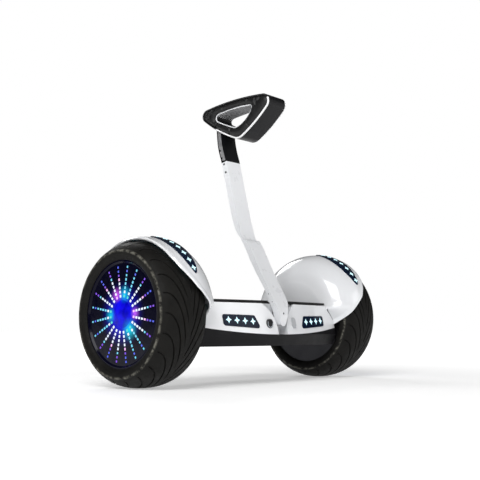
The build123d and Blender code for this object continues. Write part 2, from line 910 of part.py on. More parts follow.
grub_places = [(24, 433), (19, 416)]
cover_screw_places = [(-92, 168), (-101, 153)]
with BuildPart() as stem:
    with BuildSketch(Plane.YZ.offset(-stem_half_width)):
        with BuildLine():
            front_run = Spline(
                (-112.5, foot_bottom - 1),
                (-113.8, pivot_height),
                (-104.5, 157),
                (-72, 212),
                (-37, 273.5),
                straight_low,
                tangents=((0, 1), slide_run),
            )
            rear_run = Spline(
                (-98.5, foot_bottom - 1),
                (-98.7, pivot_height),
                (-90.5, 163),
                (-60, 212),
                (-23.5, 276),
                straight_low_rear,
                tangents=((0, 1), slide_run),
            )
            Polyline(front_run @ 1, stem_top_front, stem_top_rear, rear_run @ 1)
            Line(rear_run @ 0, front_run @ 0)
        make_face()
    extrude(amount=2 * stem_half_width)
    add(stem_front_view.part, mode=Mode.INTERSECT)
    with BuildSketch(slide_plane):
        RectangleRounded(28.6, 7.6, 2)
    extrude(amount=-socket_depth + 5, mode=Mode.SUBTRACT)
    with BuildSketch(Plane.XZ.offset(90)):
        with Locations((0, pivot_height)):
            Circle(pivot_shaft_radius)
    extrude(amount=18, mode=Mode.SUBTRACT)
    with BuildSketch(Plane.XZ.offset(90)):
        with Locations((0, pivot_height)):
            Circle(bolt_radius)
    extrude(amount=40, mode=Mode.SUBTRACT)
    with BuildSketch(Plane.YZ.offset(-30)):
        with Locations(*grub_places):
            Circle(2.5)
    extrude(amount=60, mode=Mode.SUBTRACT)
    for x_sign in (-1, 1):
        with BuildSketch(Plane.YZ.offset(x_sign * 15)):
            with Locations(*cover_screw_places):
                Circle(1.6)
        extrude(amount=x_sign * 10, mode=Mode.SUBTRACT)

with BuildPart() as stem_screws:
    with BuildSketch(Plane.XZ.offset(98)):
        with Locations((0, pivot_height)):
            Circle(bolt_radius)
    extrude(amount=15)
    with BuildSketch(Plane.XZ.offset(111)):
        with Locations((0, pivot_height)):
            RegularPolygon(1.4, 6)
    extrude(amount=5, mode=Mode.SUBTRACT)
    for x_sign in (-1, 1):
        with BuildSketch(Plane.YZ.offset(x_sign * 14.6)):
            with Locations(*grub_places):
                Circle(2.5)
                RegularPolygon(1.3, 6, mode=Mode.SUBTRACT)
        extrude(amount=x_sign * 5.2)
        with BuildSketch(Plane.YZ.offset(x_sign * 15)):
            with Locations(*cover_screw_places):
                Circle(1.6)
        extrude(amount=x_sign * 3)

# ---- neck ----------------------------------------------------------------------------
neck_lift = slide_run * 0.3
neck_screw_places = [(36, 462), (31, 446)]


def neck_profile(x, inset):
    """Side face of the neck at one x, `inset` inside its front and rear edges."""
    with BuildSketch(Plane.YZ.offset(x)) as profile:
        with BuildLine():
            nose = Spline(
                stem_top_front + neck_lift + across * inset,
                (24.5 + inset, 463),
                (30 + inset, 488),
                (32.5 + inset, 511),
                tangents=(slide_run, (0.1, 1)),
            )
            back = Spline(
                stem_top_rear + neck_lift - across * inset,
                (38.7 - inset, 461),
                (43.5 - inset, 488),
                (45.5 - inset, 511),
                tangents=(slide_run, (0.1, 1)),
            )
            Line(nose @ 0, back @ 0)
            Line(nose @ 1, back @ 1)
        make_face()
    return profile.sketch


tongue_width = 28.0
tongue_thickness = 7.0
with BuildPart() as neck_tongue:
    with BuildSketch(slide_plane.offset(-60)):
        RectangleRounded(tongue_width, tongue_thickness, 1.7)
    extrude(amount=85)

plate_skin = 1.5
with BuildPart() as plate_blanks:
    for x_sign in (-1, 1):
        add(neck_profile(x_sign * (stem_half_width - plate_skin), 2.5))
        extrude(amount=x_sign * plate_skin, dir=(1, 0, 0))
    with Locations((0, 37, 435), (0, 37, 511)):
        Box(100, 60, 12, mode=Mode.SUBTRACT)

with BuildPart() as neck:
    add(neck_profile(-stem_half_width, 0))
    extrude(amount=2 * stem_half_width, dir=(1, 0, 0))
    add(plate_blanks.part, mode=Mode.SUBTRACT)
    add(neck_tongue.part, mode=Mode.SUBTRACT)
    for x_sign in (-1, 1):
        with BuildSketch(Plane.YZ.offset(x_sign * 15)):
            with Locations(*neck_screw_places):
                Circle(2.6)
        extrude(amount=x_sign * 10, mode=Mode.SUBTRACT)

with BuildPart() as neck_side_plates:
    add(plate_blanks.part)
    with BuildSketch(Plane.YZ.offset(-30)):
        with Locations(*neck_screw_places):
            Circle(2.6)
    extrude(amount=60, mode=Mode.SUBTRACT)

with BuildPart() as neck_screws:
    for x_sign in (-1, 1):
        with BuildSketch(Plane.YZ.offset(x_sign * 15)):
            with Locations(*neck_screw_places):
                Circle(2.6)
                RegularPolygon(1.4, 6, mode=Mode.SUBTRACT)
        extrude(amount=x_sign * 4.8)

# ---- head ------------------------------------------------------------------------------


def circle_through(start, middle, end):
    """Centre and radius of the circle through three points."""
    (ax, ay), (bx, by), (cx, cy) = start, middle, end
    a_square, b_square, c_square = ax**2 + ay**2, bx**2 + by**2, cx**2 + cy**2
    twice_area = 2 * (ax * (by - cy) + bx * (cy - ay) + cx * (ay - by))
    centre_x = (a_square * (by - cy) + b_square * (cy - ay) + c_square * (ay - by)) / twice_area
    centre_y = (a_square * (cx - bx) + b_square * (ax - cx) + c_square * (bx - ax)) / twice_area
    centre = Vector(centre_x, centre_y)
    return centre, (centre - Vector(ax, ay)).length


def circles_meet(first, second, near):
    """The point where two circles cross, the one nearer a given point."""
    (centre, radius), (other_centre, other_radius) = first, second
    span = other_centre - centre
    along = (radius**2 - other_radius**2 + span.length**2) / (2 * span.length)
    aside = sqrt(radius**2 - along**2)
    ahead = span.normalized()
    sideways = Vector(-ahead.Y, ahead.X)
    crossings = [centre + ahead * along + sideways * aside * sign for sign in (1, -1)]
    return min(crossings, key=lambda point: (point - Vector(*near)).length)


def bowed_prism(corners, bulges, roundings, inset, low_x, high_x):
    """Prism of a triangle with bowed edges, `inset` inside its edge, its corners rounded.

    Corners, edge middles and roundings run from the rear to the front to the bottom.
    """
    circles = []
    for edge in range(3):
        centre, radius = circle_through(corners[edge], bulges[edge], corners[edge - 2])
        circles.append((centre, radius - inset))
    points = [circles_meet(circles[edge - 1], circles[edge], corners[edge]) for edge in range(3)]
    with BuildPart() as prism:
        with BuildSketch(Plane.YZ.offset(low_x)):
            with BuildLine():
                for edge, (centre, radius) in enumerate(circles):
                    bow = centre + (Vector(*bulges[edge]) - centre).normalized() * radius
                    ThreePointArc(points[edge], bow, points[edge - 2])
            make_face()
        extrude(amount=high_x - low_x, dir=(1, 0, 0))
        fillet(prism.edges().filter_by(Axis.X).sort_by(Axis.Y)[-1], roundings[0] - inset)
        fillet(prism.edges().filter_by(Axis.X).sort_by(Axis.Y)[0], roundings[1] - inset)
        fillet(prism.edges().filter_by(Axis.X).sort_by(Axis.Z)[0], roundings[2] - inset)
    return prism.part


def head_prism(inset, low_x, high_x):
    """The head's side outline, `inset` inside its edge, from one x to another."""
    corners = ((96, 547), (-117, 553), (-21, 476))
    bulges = ((-15, 559), (-73, 509.5), (38, 503.5))
    return bowed_prism(corners, bulges, (13, 16, 26), inset, low_x, high_x)


def hole_prism(grow, low_x, high_x):
    """The hand hole's outline, `grow` outside its edge, from one x to another."""
    corners = ((56, 533), (-56, 540), (-10, 502.5))
    bulges = ((-9, 541.5), (-38.5, 516.5), (22, 515.5))
    return bowed_prism(corners, bulges, (7, 5, 14), -grow, low_x, high_x)


core_half_width = 20.0
band_half_width = 24.0
liner_half_width = 21.5
piping_width = 3.0
band_wall = 2.5
liner_wall = 2.0
trim_width = 1.5

with BuildPart() as neck_pocket:
    add(neck_profile(-stem_half_width, 0))
    extrude(amount=2 * stem_half_width, dir=(1, 0, 0))

with BuildPart() as head_core:
    add(head_prism(band_wall, -core_half_width, core_half_width))
    add(hole_prism(liner_wall, -liner_half_width, liner_half_width))
    add(hole_prism(0, -liner_half_width, liner_half_width), mode=Mode.SUBTRACT)
    add(neck_pocket.part, mode=Mode.SUBTRACT)

with BuildPart() as head_band:
    add(head_prism(0, -band_half_width, band_half_width))
    add(head_prism(band_wall, -band_half_width, band_half_width), mode=Mode.SUBTRACT)
    add(neck_pocket.part, mode=Mode.SUBTRACT)

with BuildPart() as left_knee_pad:
    add(head_prism(3.2, core_half_width, head_half_width))
    add(hole_prism(liner_wall + 0.3, core_half_width, head_half_width), mode=Mode.SUBTRACT)
    fillet(edges().group_by(Axis.X)[-1], 2.5)
right_knee_pad = mirrored(left_knee_pad)

piping_face = band_half_width + piping_width
with BuildPart() as left_piping:
    add(head_prism(0, band_half_width, piping_face))
    add(head_prism(3, band_half_width, piping_face), mode=Mode.SUBTRACT)
    fillet(edges().group_by(Axis.X)[-1], 1.2)
right_piping = mirrored(left_piping)
with BuildPart() as pad_piping:
    add(left_piping.part)
    add(right_piping.part)

trim_face = liner_half_width + trim_width
with BuildPart() as left_hole_trim:
    add(hole_prism(liner_wall, liner_half_width, trim_face))
    add(hole_prism(0, liner_half_width, trim_face), mode=Mode.SUBTRACT)
right_hole_trim = mirrored(left_hole_trim)
with BuildPart() as hole_trims:
    add(left_hole_trim.part)
    add(right_hole_trim.part)

# ---- one file for each node ---------------------------------------------------------------
left_tyre.part.label = "left_tyre"
export_step(left_tyre.part, "parts/left_tyre.step")
right_tyre.part.label = "right_tyre"
export_step(right_tyre.part, "parts/right_tyre.step")
left_rim.part.label = "left_rim"
export_step(left_rim.part, "parts/left_rim.step")
right_rim.part.label = "right_rim"
export_step(right_rim.part, "parts/right_rim.step")
left_motor_cover.part.label = "left_motor_cover"
export_step(left_motor_cover.part, "parts/left_motor_cover.step")
right_motor_cover.part.label = "right_motor_cover"
export_step(right_motor_cover.part, "parts/right_motor_cover.step")
left_magnet_ring.part.label = "left_magnet_ring"
export_step(left_magnet_ring.part, "parts/left_magnet_ring.step")
right_magnet_ring.part.label = "right_magnet_ring"
export_step(right_magnet_ring.part, "parts/right_magnet_ring.step")
left_wheel_bearings.part.label = "left_wheel_bearings"
export_step(left_wheel_bearings.part, "parts/left_wheel_bearings.step")
right_wheel_bearings.part.label = "right_wheel_bearings"
export_step(right_wheel_bearings.part, "parts/right_wheel_bearings.step")
left_led_disc.part.label = "left_led_disc"
export_step(left_led_disc.part, "parts/left_led_disc.step")
right_led_disc.part.label = "right_led_disc"
export_step(right_led_disc.part, "parts/right_led_disc.step")
left_led_spokes.part.label = "left_led_spokes"
export_step(left_led_spokes.part, "parts/left_led_spokes.step")
right_led_spokes.part.label = "right_led_spokes"
export_step(right_led_spokes.part, "parts/right_led_spokes.step")
left_hub_diffuser.part.label = "left_hub_diffuser"
export_step(left_hub_diffuser.part, "parts/left_hub_diffuser.step")
right_hub_diffuser.part.label = "right_hub_diffuser"
export_step(right_hub_diffuser.part, "parts/right_hub_diffuser.step")
stator_cores.part.label = "stator_cores"
export_step(stator_cores.part, "parts/stator_cores.step")
stator_windings.part.label = "stator_windings"
export_step(stator_windings.part, "parts/stator_windings.step")
axles.part.label = "axles"
export_step(axles.part, "parts/axles.step")
front_fascia.part.label = "front_fascia"
export_step(front_fascia.part, "parts/front_fascia.step")
rear_fascia.part.label = "rear_fascia"
export_step(rear_fascia.part, "parts/rear_fascia.step")
deck.part.label = "deck"
export_step(deck.part, "parts/deck.step")
lower_shell.part.label = "lower_shell"
export_step(lower_shell.part, "parts/lower_shell.step")
left_fender.part.label = "left_fender"
export_step(left_fender.part, "parts/left_fender.step")
right_fender.part.label = "right_fender"
export_step(right_fender.part, "parts/right_fender.step")
left_fender_lens.part.label = "left_fender_lens"
export_step(left_fender_lens.part, "parts/left_fender_lens.step")
right_fender_lens.part.label = "right_fender_lens"
export_step(right_fender_lens.part, "parts/right_fender_lens.step")
fender_led_strips.part.label = "fender_led_strips"
export_step(fender_led_strips.part, "parts/fender_led_strips.step")
left_foot_mat.part.label = "left_foot_mat"
export_step(left_foot_mat.part, "parts/left_foot_mat.step")
right_foot_mat.part.label = "right_foot_mat"
export_step(right_foot_mat.part, "parts/right_foot_mat.step")
headlight_lenses.part.label = "headlight_lenses"
export_step(headlight_lenses.part, "parts/headlight_lenses.step")
tail_light_lenses.part.label = "tail_light_lenses"
export_step(tail_light_lenses.part, "parts/tail_light_lenses.step")
light_boards.part.label = "light_boards"
export_step(light_boards.part, "parts/light_boards.step")
power_button.part.label = "power_button"
export_step(power_button.part, "parts/power_button.step")
charge_socket.part.label = "charge_socket"
export_step(charge_socket.part, "parts/charge_socket.step")
charge_flap.part.label = "charge_flap"
export_step(charge_flap.part, "parts/charge_flap.step")
frame.part.label = "frame"
export_step(frame.part, "parts/frame.step")
axle_clamps.part.label = "axle_clamps"
export_step(axle_clamps.part, "parts/axle_clamps.step")
chassis_screws.part.label = "chassis_screws"
export_step(chassis_screws.part, "parts/chassis_screws.step")
battery_pack.part.label = "battery_pack"
export_step(battery_pack.part, "parts/battery_pack.step")
controller_board.part.label = "controller_board"
export_step(controller_board.part, "parts/controller_board.step")
sensor_boards.part.label = "sensor_boards"
export_step(sensor_boards.part, "parts/sensor_boards.step")
pivot_housing.part.label = "pivot_housing"
export_step(pivot_housing.part, "parts/pivot_housing.step")
pivot_bushings.part.label = "pivot_bushings"
export_step(pivot_bushings.part, "parts/pivot_bushings.step")
pivot_shaft.part.label = "pivot_shaft"
export_step(pivot_shaft.part, "parts/pivot_shaft.step")
stem_lever.part.label = "stem_lever"
export_step(stem_lever.part, "parts/stem_lever.step")
centring_spring.part.label = "centring_spring"
export_step(centring_spring.part, "parts/centring_spring.step")
stem.part.label = "stem"
export_step(stem.part, "parts/stem.step")
stem_screws.part.label = "stem_screws"
export_step(stem_screws.part, "parts/stem_screws.step")
neck.part.label = "neck"
export_step(neck.part, "parts/neck.step")
neck_tongue.part.label = "neck_tongue"
export_step(neck_tongue.part, "parts/neck_tongue.step")
neck_side_plates.part.label = "neck_side_plates"
export_step(neck_side_plates.part, "parts/neck_side_plates.step")
neck_screws.part.label = "neck_screws"
export_step(neck_screws.part, "parts/neck_screws.step")
head_core.part.label = "head_core"
export_step(head_core.part, "parts/head_core.step")
head_band.part.label = "head_band"
export_step(head_band.part, "parts/head_band.step")
left_knee_pad.part.label = "left_knee_pad"
export_step(left_knee_pad.part, "parts/left_knee_pad.step")
right_knee_pad.part.label = "right_knee_pad"
export_step(right_knee_pad.part, "parts/right_knee_pad.step")
pad_piping.part.label = "pad_piping"
export_step(pad_piping.part, "parts/pad_piping.step")
hole_trims.part.label = "hole_trims"
export_step(hole_trims.part, "parts/hole_trims.step")
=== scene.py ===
from math import cos, exp, hypot, pi, radians, sin, sqrt

import bmesh
import bpy
import numpy as np
from mathutils import Matrix, Vector
from mathutils.bvhtree import BVHTree
from mathutils.kdtree import KDTree


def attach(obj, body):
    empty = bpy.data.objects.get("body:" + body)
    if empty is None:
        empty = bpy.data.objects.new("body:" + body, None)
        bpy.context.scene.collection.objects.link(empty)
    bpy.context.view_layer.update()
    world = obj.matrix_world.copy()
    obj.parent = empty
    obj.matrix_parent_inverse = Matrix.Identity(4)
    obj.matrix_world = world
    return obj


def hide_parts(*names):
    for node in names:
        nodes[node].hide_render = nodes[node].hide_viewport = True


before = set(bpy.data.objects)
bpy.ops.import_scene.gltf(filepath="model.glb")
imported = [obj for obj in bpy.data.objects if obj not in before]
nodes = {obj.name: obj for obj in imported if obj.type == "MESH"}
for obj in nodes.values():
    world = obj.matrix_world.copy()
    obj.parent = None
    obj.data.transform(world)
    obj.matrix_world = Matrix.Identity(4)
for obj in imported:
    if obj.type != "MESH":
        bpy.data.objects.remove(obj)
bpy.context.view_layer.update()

MM = 0.001
AXLE = Vector((0, 0, 0.127))
TRACK = 0.254  # from the middle of the body to the middle of a tyre
SIDES = (("left", 1), ("right", -1))


# ---- materials ---------------------------------------------------------------------
class Shader:
    """A material's node tree, with short ways to add nodes to it."""

    def __init__(self, name, colour, roughness, metallic=0.0, coat=0.0, specular=0.5):
        self.material = bpy.data.materials.new(name)
        self.material.use_nodes = True
        self.tree = self.material.node_tree
        self.bsdf = self.tree.nodes["Principled BSDF"]
        self.colour = colour
        self.bsdf.inputs["Base Color"].default_value = (*colour, 1)
        self.bsdf.inputs["Roughness"].default_value = roughness
        self.bsdf.inputs["Metallic"].default_value = metallic
        self.bsdf.inputs["Coat Weight"].default_value = coat
        self.bsdf.inputs["Coat Roughness"].default_value = 0.08
        self.bsdf.inputs["Specular IOR Level"].default_value = specular
        self.place = self.add("ShaderNodeTexCoord").outputs["Object"]
        self.heights = []

    def add(self, kind, **inputs):
        node = self.tree.nodes.new(kind)
        for key, value in inputs.items():
            if key in node.inputs:
                node.inputs[key].default_value = value
            else:
                setattr(node, key, value)
        return node

    def link(self, source, target):
        self.tree.links.new(source, target)

    def maths(self, operation, first, second=None, third=None):
        node = self.add("ShaderNodeMath", operation=operation)
        for index, value in enumerate((first, second, third)):
            if value is None:
                continue
            if isinstance(value, (int, float)):
                node.inputs[index].default_value = value
            else:
                self.link(value, node.inputs[index])
        return node.outputs[0]

    def noise(self, scale, detail=3.0, roughness=0.5, stretch=(1, 1, 1)):
        mapping = self.add("ShaderNodeMapping")
        mapping.inputs["Scale"].default_value = stretch
        self.link(self.place, mapping.inputs["Vector"])
        node = self.add("ShaderNodeTexNoise", Scale=scale, Detail=detail, Roughness=roughness)
        self.link(mapping.outputs[0], node.inputs["Vector"])
        return node.outputs[0]

    def cells(self, scale):
        """Distance to the nearest edge between small cells."""
        node = self.add("ShaderNodeTexVoronoi", feature="DISTANCE_TO_EDGE", Scale=scale)
        self.link(self.place, node.inputs["Vector"])
        return node.outputs["Distance"]

    def ramp(self, source, low, high, low_value, high_value):
        node = self.add("ShaderNodeMapRange")
        for key, value in (
            ("From Min", low),
            ("From Max", high),
            ("To Min", low_value),
            ("To Max", high_value),
        ):
            node.inputs[key].default_value = value
        self.link(source, node.inputs["Value"])
        return node.outputs[0]

    def mix(self, factor, first, second):
        node = self.add("ShaderNodeMix", data_type="RGBA")
        self.link(factor, node.inputs["Factor"])
        for index, value in ((6, first), (7, second)):
            if isinstance(value, tuple):
                node.inputs[index].default_value = (*value, 1)
            else:
                self.link(value, node.inputs[index])
        return node.outputs[2]

    def tint(self, spread, scale=22.0):
        """Slow colour variation, lighter and darker than the material's colour."""
        dark = tuple(c * (1 - spread) for c in self.colour)
        light = tuple(min(1, c * (1 + spread)) for c in self.colour)
        factor = self.ramp(self.noise(scale), 0.3, 0.7, 0, 1)
        out = self.mix(factor, dark, light)
        self.link(out, self.bsdf.inputs["Base Color"])
        return out

    def gloss(self, low, high, scale=60.0, stretch=(1, 1, 1)):
        self.link(
            self.ramp(self.noise(scale, 4, 0.6, stretch), 0.3, 0.7, low, high),
            self.bsdf.inputs["Roughness"],
        )

    def relief(self, height, distance, strength=1.0):
        """Adds one layer of bump of that depth in metres."""
        bump = self.add("ShaderNodeBump", Strength=strength, Distance=distance)
        self.link(height, bump.inputs["Height"])
        if self.heights:
            self.link(self.heights[-1], bump.inputs["Normal"])
        self.heights.append(bump.outputs[0])
        self.link(bump.outputs[0], self.bsdf.inputs["Normal"])

    def emit(self, light, strength=1.0):
        self.link(light, self.bsdf.inputs["Emission Color"])
        self.bsdf.inputs["Emission Strength"].default_value = strength

    def coordinates(self):
        split = self.add("ShaderNodeSeparateXYZ")
        self.link(self.place, split.inputs[0])
        return split.outputs

    def distance_in_side_view(self, y, z):
        """Distance from a point of the side view, in metres."""
        here = self.coordinates()
        away_y = self.maths("POWER", self.maths("SUBTRACT", here["Y"], y), 2.0)
        away_z = self.maths("POWER", self.maths("SUBTRACT", here["Z"], z), 2.0)
        return self.maths("SQRT", self.maths("ADD", away_y, away_z))


def plastic(
    name, colour, roughness, coat=0.0, grain=900.0, depth=0.00004, spread=0.03, specular=0.5
):
    """Moulded plastic: slow colour drift, fine moulded grain and a little uneven gloss."""
    shader = Shader(name, colour, roughness, coat=coat, specular=specular)
    shader.tint(spread)
    shader.gloss(max(0.03, roughness - 0.05), roughness + 0.07)
    shader.relief(shader.noise(grain, 2), depth)
    return shader


def metal(name, colour, roughness, stretch=(1, 1, 1), grain=500.0, depth=0.00003):
    """Bare or plated metal with a fine drawn or turned grain."""
    shader = Shader(name, colour, roughness, metallic=1.0)
    shader.tint(0.08, 40)
    shader.gloss(roughness - 0.08, roughness + 0.12, 120, stretch)
    shader.relief(shader.noise(grain, 3, 0.6, stretch), depth)
    return shader


def glow(name, colour, strength):
    """A lit diode's window, its lens slightly cloudy."""
    shader = Shader(name, (0.05, 0.06, 0.08), 0.3)
    cloud = shader.ramp(shader.noise(900, 2), 0.3, 0.7, 0, 1)
    shader.emit(shader.mix(cloud, tuple(c * 0.8 for c in colour), colour), strength)
    return shader


white_gloss = plastic(
    "white_gloss_shell", (0.83, 0.84, 0.86), 0.16, coat=0.5, grain=300, depth=0.00001, spread=0.012
)
white_satin = plastic("white_satin_deck", (0.78, 0.78, 0.8), 0.42, grain=1400, depth=0.00006)
black_shell = plastic(
    "black_satin_shell",
    (0.0065, 0.0063, 0.0075),
    0.42,
    grain=1600,
    depth=0.00006,
    spread=0.2,
    specular=0.14,
)
black_band = plastic(
    "black_satin_band",
    (0.005, 0.005, 0.006),
    0.36,
    grain=2200,
    depth=0.00003,
    spread=0.2,
    specular=0.2,
)
black_gloss = plastic(
    "black_gloss_button", (0.012, 0.012, 0.014), 0.12, coat=0.4, grain=300, depth=0.00001
)
core_black = plastic(
    "black_moulded_core",
    (0.006, 0.006, 0.007),
    0.5,
    grain=1300,
    depth=0.0001,
    spread=0.2,
    specular=0.2,
)
socket_black = plastic(
    "black_moulded_socket", (0.02, 0.02, 0.02), 0.55, grain=1500, depth=0.00008, spread=0.2
)
flap_grey = plastic(
    "soft_grey_flap", (0.42, 0.43, 0.45), 0.6, grain=1500, depth=0.00008, spread=0.06
)
smoked = plastic(
    "smoked_lens",
    (0.003, 0.009, 0.026),
    0.22,
    grain=200,
    depth=0.00001,
    spread=0.25,
    specular=0.12,
)
red_lens = plastic(
    "red_lens", (0.3, 0.006, 0.008), 0.1, coat=0.8, grain=200, depth=0.00001, spread=0.2
)
red_lens.relief(red_lens.cells(260), 0.0003)
white_piping = plastic(
    "white_piping", (0.9, 0.9, 0.91), 0.25, coat=0.3, grain=600, depth=0.00002, spread=0.02
)
# The piping is white round the front and the bottom and black along the top and the rear.
here = white_piping.coordinates()
limit = white_piping.maths("MULTIPLY_ADD", here["Y"], -0.30, 0.5185)
above = white_piping.maths("SUBTRACT", here["Z"], limit)
white_piping.link(
    white_piping.mix(
        white_piping.ramp(above, -0.0005, 0.0005, 0, 1),
        (0.88, 0.88, 0.89),
        (0.008, 0.008, 0.009),
    ),
    white_piping.bsdf.inputs["Base Color"],
)
cast_aluminium = metal("cast_aluminium", (0.55, 0.55, 0.56), 0.45, grain=700, depth=0.0001)
black_anodised = metal("black_anodised", (0.05, 0.05, 0.055), 0.38, (1, 8, 8))
machined = metal("machined_aluminium", (0.6, 0.6, 0.61), 0.3, (1, 1, 12))
nickel = metal("nickel_magnets", (0.6, 0.59, 0.56), 0.25)
ground_steel = metal("ground_steel", (0.55, 0.55, 0.57), 0.22, (20, 1, 1))
black_oxide = metal("black_oxide_steel", (0.05, 0.05, 0.052), 0.4)
grey_screw = metal("grey_screw_steel", (0.2, 0.2, 0.21), 0.4)
spring_steel = metal("spring_steel", (0.35, 0.35, 0.37), 0.3)
satin_strip = metal("satin_grey_strip", (0.5, 0.5, 0.51), 0.5, (6, 1, 1))
bright_trim = plastic(
    "bright_trim", (0.82, 0.83, 0.85), 0.2, coat=0.6, grain=700, depth=0.00001, spread=0.05
)
bronze = metal("sintered_bronze", (0.55, 0.38, 0.16), 0.5, grain=2500, depth=0.0001)
laminated = metal("laminated_steel", (0.26, 0.27, 0.29), 0.5)
laminated.relief(laminated.noise(2200, 1, 0.5, (1, 0.02, 0.02)), 0.0003)
copper = metal("enamelled_copper", (0.62, 0.24, 0.08), 0.3)
copper.relief(copper.noise(900, 1, 0.5, (0.05, 1, 1)), 0.0005)
stem_paint = plastic(
    "white_stem_paint", (0.8, 0.81, 0.83), 0.3, coat=0.35, grain=450, depth=0.00002, spread=0.015
)

board = plastic("circuit_board", (0.015, 0.09, 0.035), 0.4, grain=1200, depth=0.00005, spread=0.2)
tracks = board.ramp(board.cells(420), 0.02, 0.05, 1, 0)
board.link(
    board.mix(tracks, (0.015, 0.09, 0.035), (0.12, 0.3, 0.1)),
    board.bsdf.inputs["Base Color"],
)
wrap = plastic(
    "battery_wrap", (0.02, 0.07, 0.28), 0.28, coat=0.2, grain=60, depth=0.0006, spread=0.12
)
wrap.relief(wrap.noise(40, 2, 0.5, (0.2, 1, 1)), 0.0008)

rubber = Shader("ribbed_rubber", (0.012, 0.012, 0.012), 0.75, specular=0.2)
rubber.tint(0.25, 60)
rubber.gloss(0.65, 0.85, 200)
rubber.relief(rubber.noise(1600, 3), 0.00012)

leather = Shader("padded_black_skin", (0.0085, 0.0085, 0.009), 0.42, specular=0.3)
leather.tint(0.35, 70)
leather.gloss(0.36, 0.6, 160)
leather.relief(leather.cells(1100), 0.00012, 0.5)
leather.relief(leather.noise(240, 4), 0.0002, 0.4)

# Tyre rubber: warm black, with a painted highlight in patchy lighter grey along the ridge on the
# sidewall.
tyre_rubber = Shader("tyre_rubber", (0.008, 0.0076, 0.0068), 0.6, specular=0.13)
tyre_base = tyre_rubber.tint(0.25, 45)
tyre_radius = tyre_rubber.distance_in_side_view(0, AXLE.z)
ridge = tyre_rubber.maths(
    "MULTIPLY",
    tyre_rubber.ramp(tyre_radius, 0.1055, 0.1085, 0, 1),
    tyre_rubber.ramp(tyre_radius, 0.1095, 0.1115, 1, 0),
)
# Painted highlight: noise breaks the lighter grey ring on the sidewall ridge into patches.
highlight_patches = tyre_rubber.ramp(tyre_rubber.noise(120, 5, 0.65), 0.42, 0.62, 0, 1)
ridge_highlight = tyre_rubber.maths("MULTIPLY", ridge, highlight_patches)
tyre_rubber.link(
    tyre_rubber.mix(ridge_highlight, tyre_base, (0.16, 0.155, 0.13)),
    tyre_rubber.bsdf.inputs["Base Color"],
)
tyre_rubber.gloss(0.48, 0.72, 90)
tyre_rubber.relief(tyre_rubber.noise(1500, 3), 0.00015)
tyre_rubber.relief(tyre_rubber.noise(160, 4), 0.0005, 0.5)

# Disc cover: deep black with coloured light pooling round the lit middle.
disc_black = Shader("lit_disc_cover", (0.002, 0.002, 0.004), 0.14, specular=0.12)
disc_black.gloss(0.08, 0.2, 80)
disc_black.relief(disc_black.noise(260, 2), 0.00002)
disc_radius = disc_black.distance_in_side_view(0, AXLE.z)
pool = disc_black.maths("POWER", disc_black.ramp(disc_radius, 0.022, 0.062, 1, 0), 2.2)


# Coloured spots of light: their place from the axle (Y, Z), reach and colour.
LIGHT_SPOTS = (
    (-0.020, -0.026, 0.022, (0.0, 0.75, 0.62)),
    (0.031, -0.002, 0.016, (0.0, 0.6, 0.45)),
    (-0.006, 0.034, 0.018, (0.0, 0.62, 0.7)),
    (0.015, 0.033, 0.016, (0.75, 0.12, 0.75)),
    (-0.034, 0.001, 0.014, (0.6, 0.12, 0.75)),
)


def with_spots(shader, light, strength):
    """Adds the coloured spots to a shader's light."""
    for y, z, reach, colour in LIGHT_SPOTS:
        away = shader.distance_in_side_view(y, AXLE.z + z)
        node = shader.add("ShaderNodeMix", data_type="RGBA", blend_type="ADD")
        shader.link(
            shader.maths("POWER", shader.ramp(away, 0, reach, 1, 0), 1.6),
            node.inputs["Factor"],
        )
        shader.link(light, node.inputs[6])
        node.inputs[7].default_value = (*(c * strength for c in colour), 1)
        light = node.outputs[2]
    return light


disc_light = disc_black.mix(pool, (0.0, 0.0, 0.006), (0.01, 0.012, 0.75))
disc_black.emit(with_spots(disc_black, disc_light, 1.0))

hub_glow = Shader("lit_blue_middle", (0.0, 0.0, 0.03), 0.25, specular=0.1)
clouds = hub_glow.ramp(hub_glow.noise(60, 2), 0.35, 0.65, 0, 1)
hub_light = hub_glow.mix(clouds, (0.0, 0.0, 0.42), (0.006, 0.004, 0.9))
hub_glow.emit(with_spots(hub_glow, hub_light, 0.5))

LED_COLOURS = {
    "white": glow("led_cool_white", (0.8, 0.88, 1.0), 1.25),
    "cyan": glow("led_cyan", (0.16, 0.72, 0.95), 1.1),
    "green": glow("led_sea_green", (0.05, 0.72, 0.6), 1.1),
    "blue": glow("led_blue", (0.06, 0.1, 0.95), 1.0),
    "violet": glow("led_violet", (0.22, 0.04, 0.85), 1.0),
    "pink": glow("led_pink", (0.95, 0.5, 0.9), 1.15),
}
lamp_led = glow("lamp_diode", (0.62, 0.93, 1.0), 1.5)
ring_led = glow("button_ring_light", (0.7, 0.75, 0.8), 0.6)

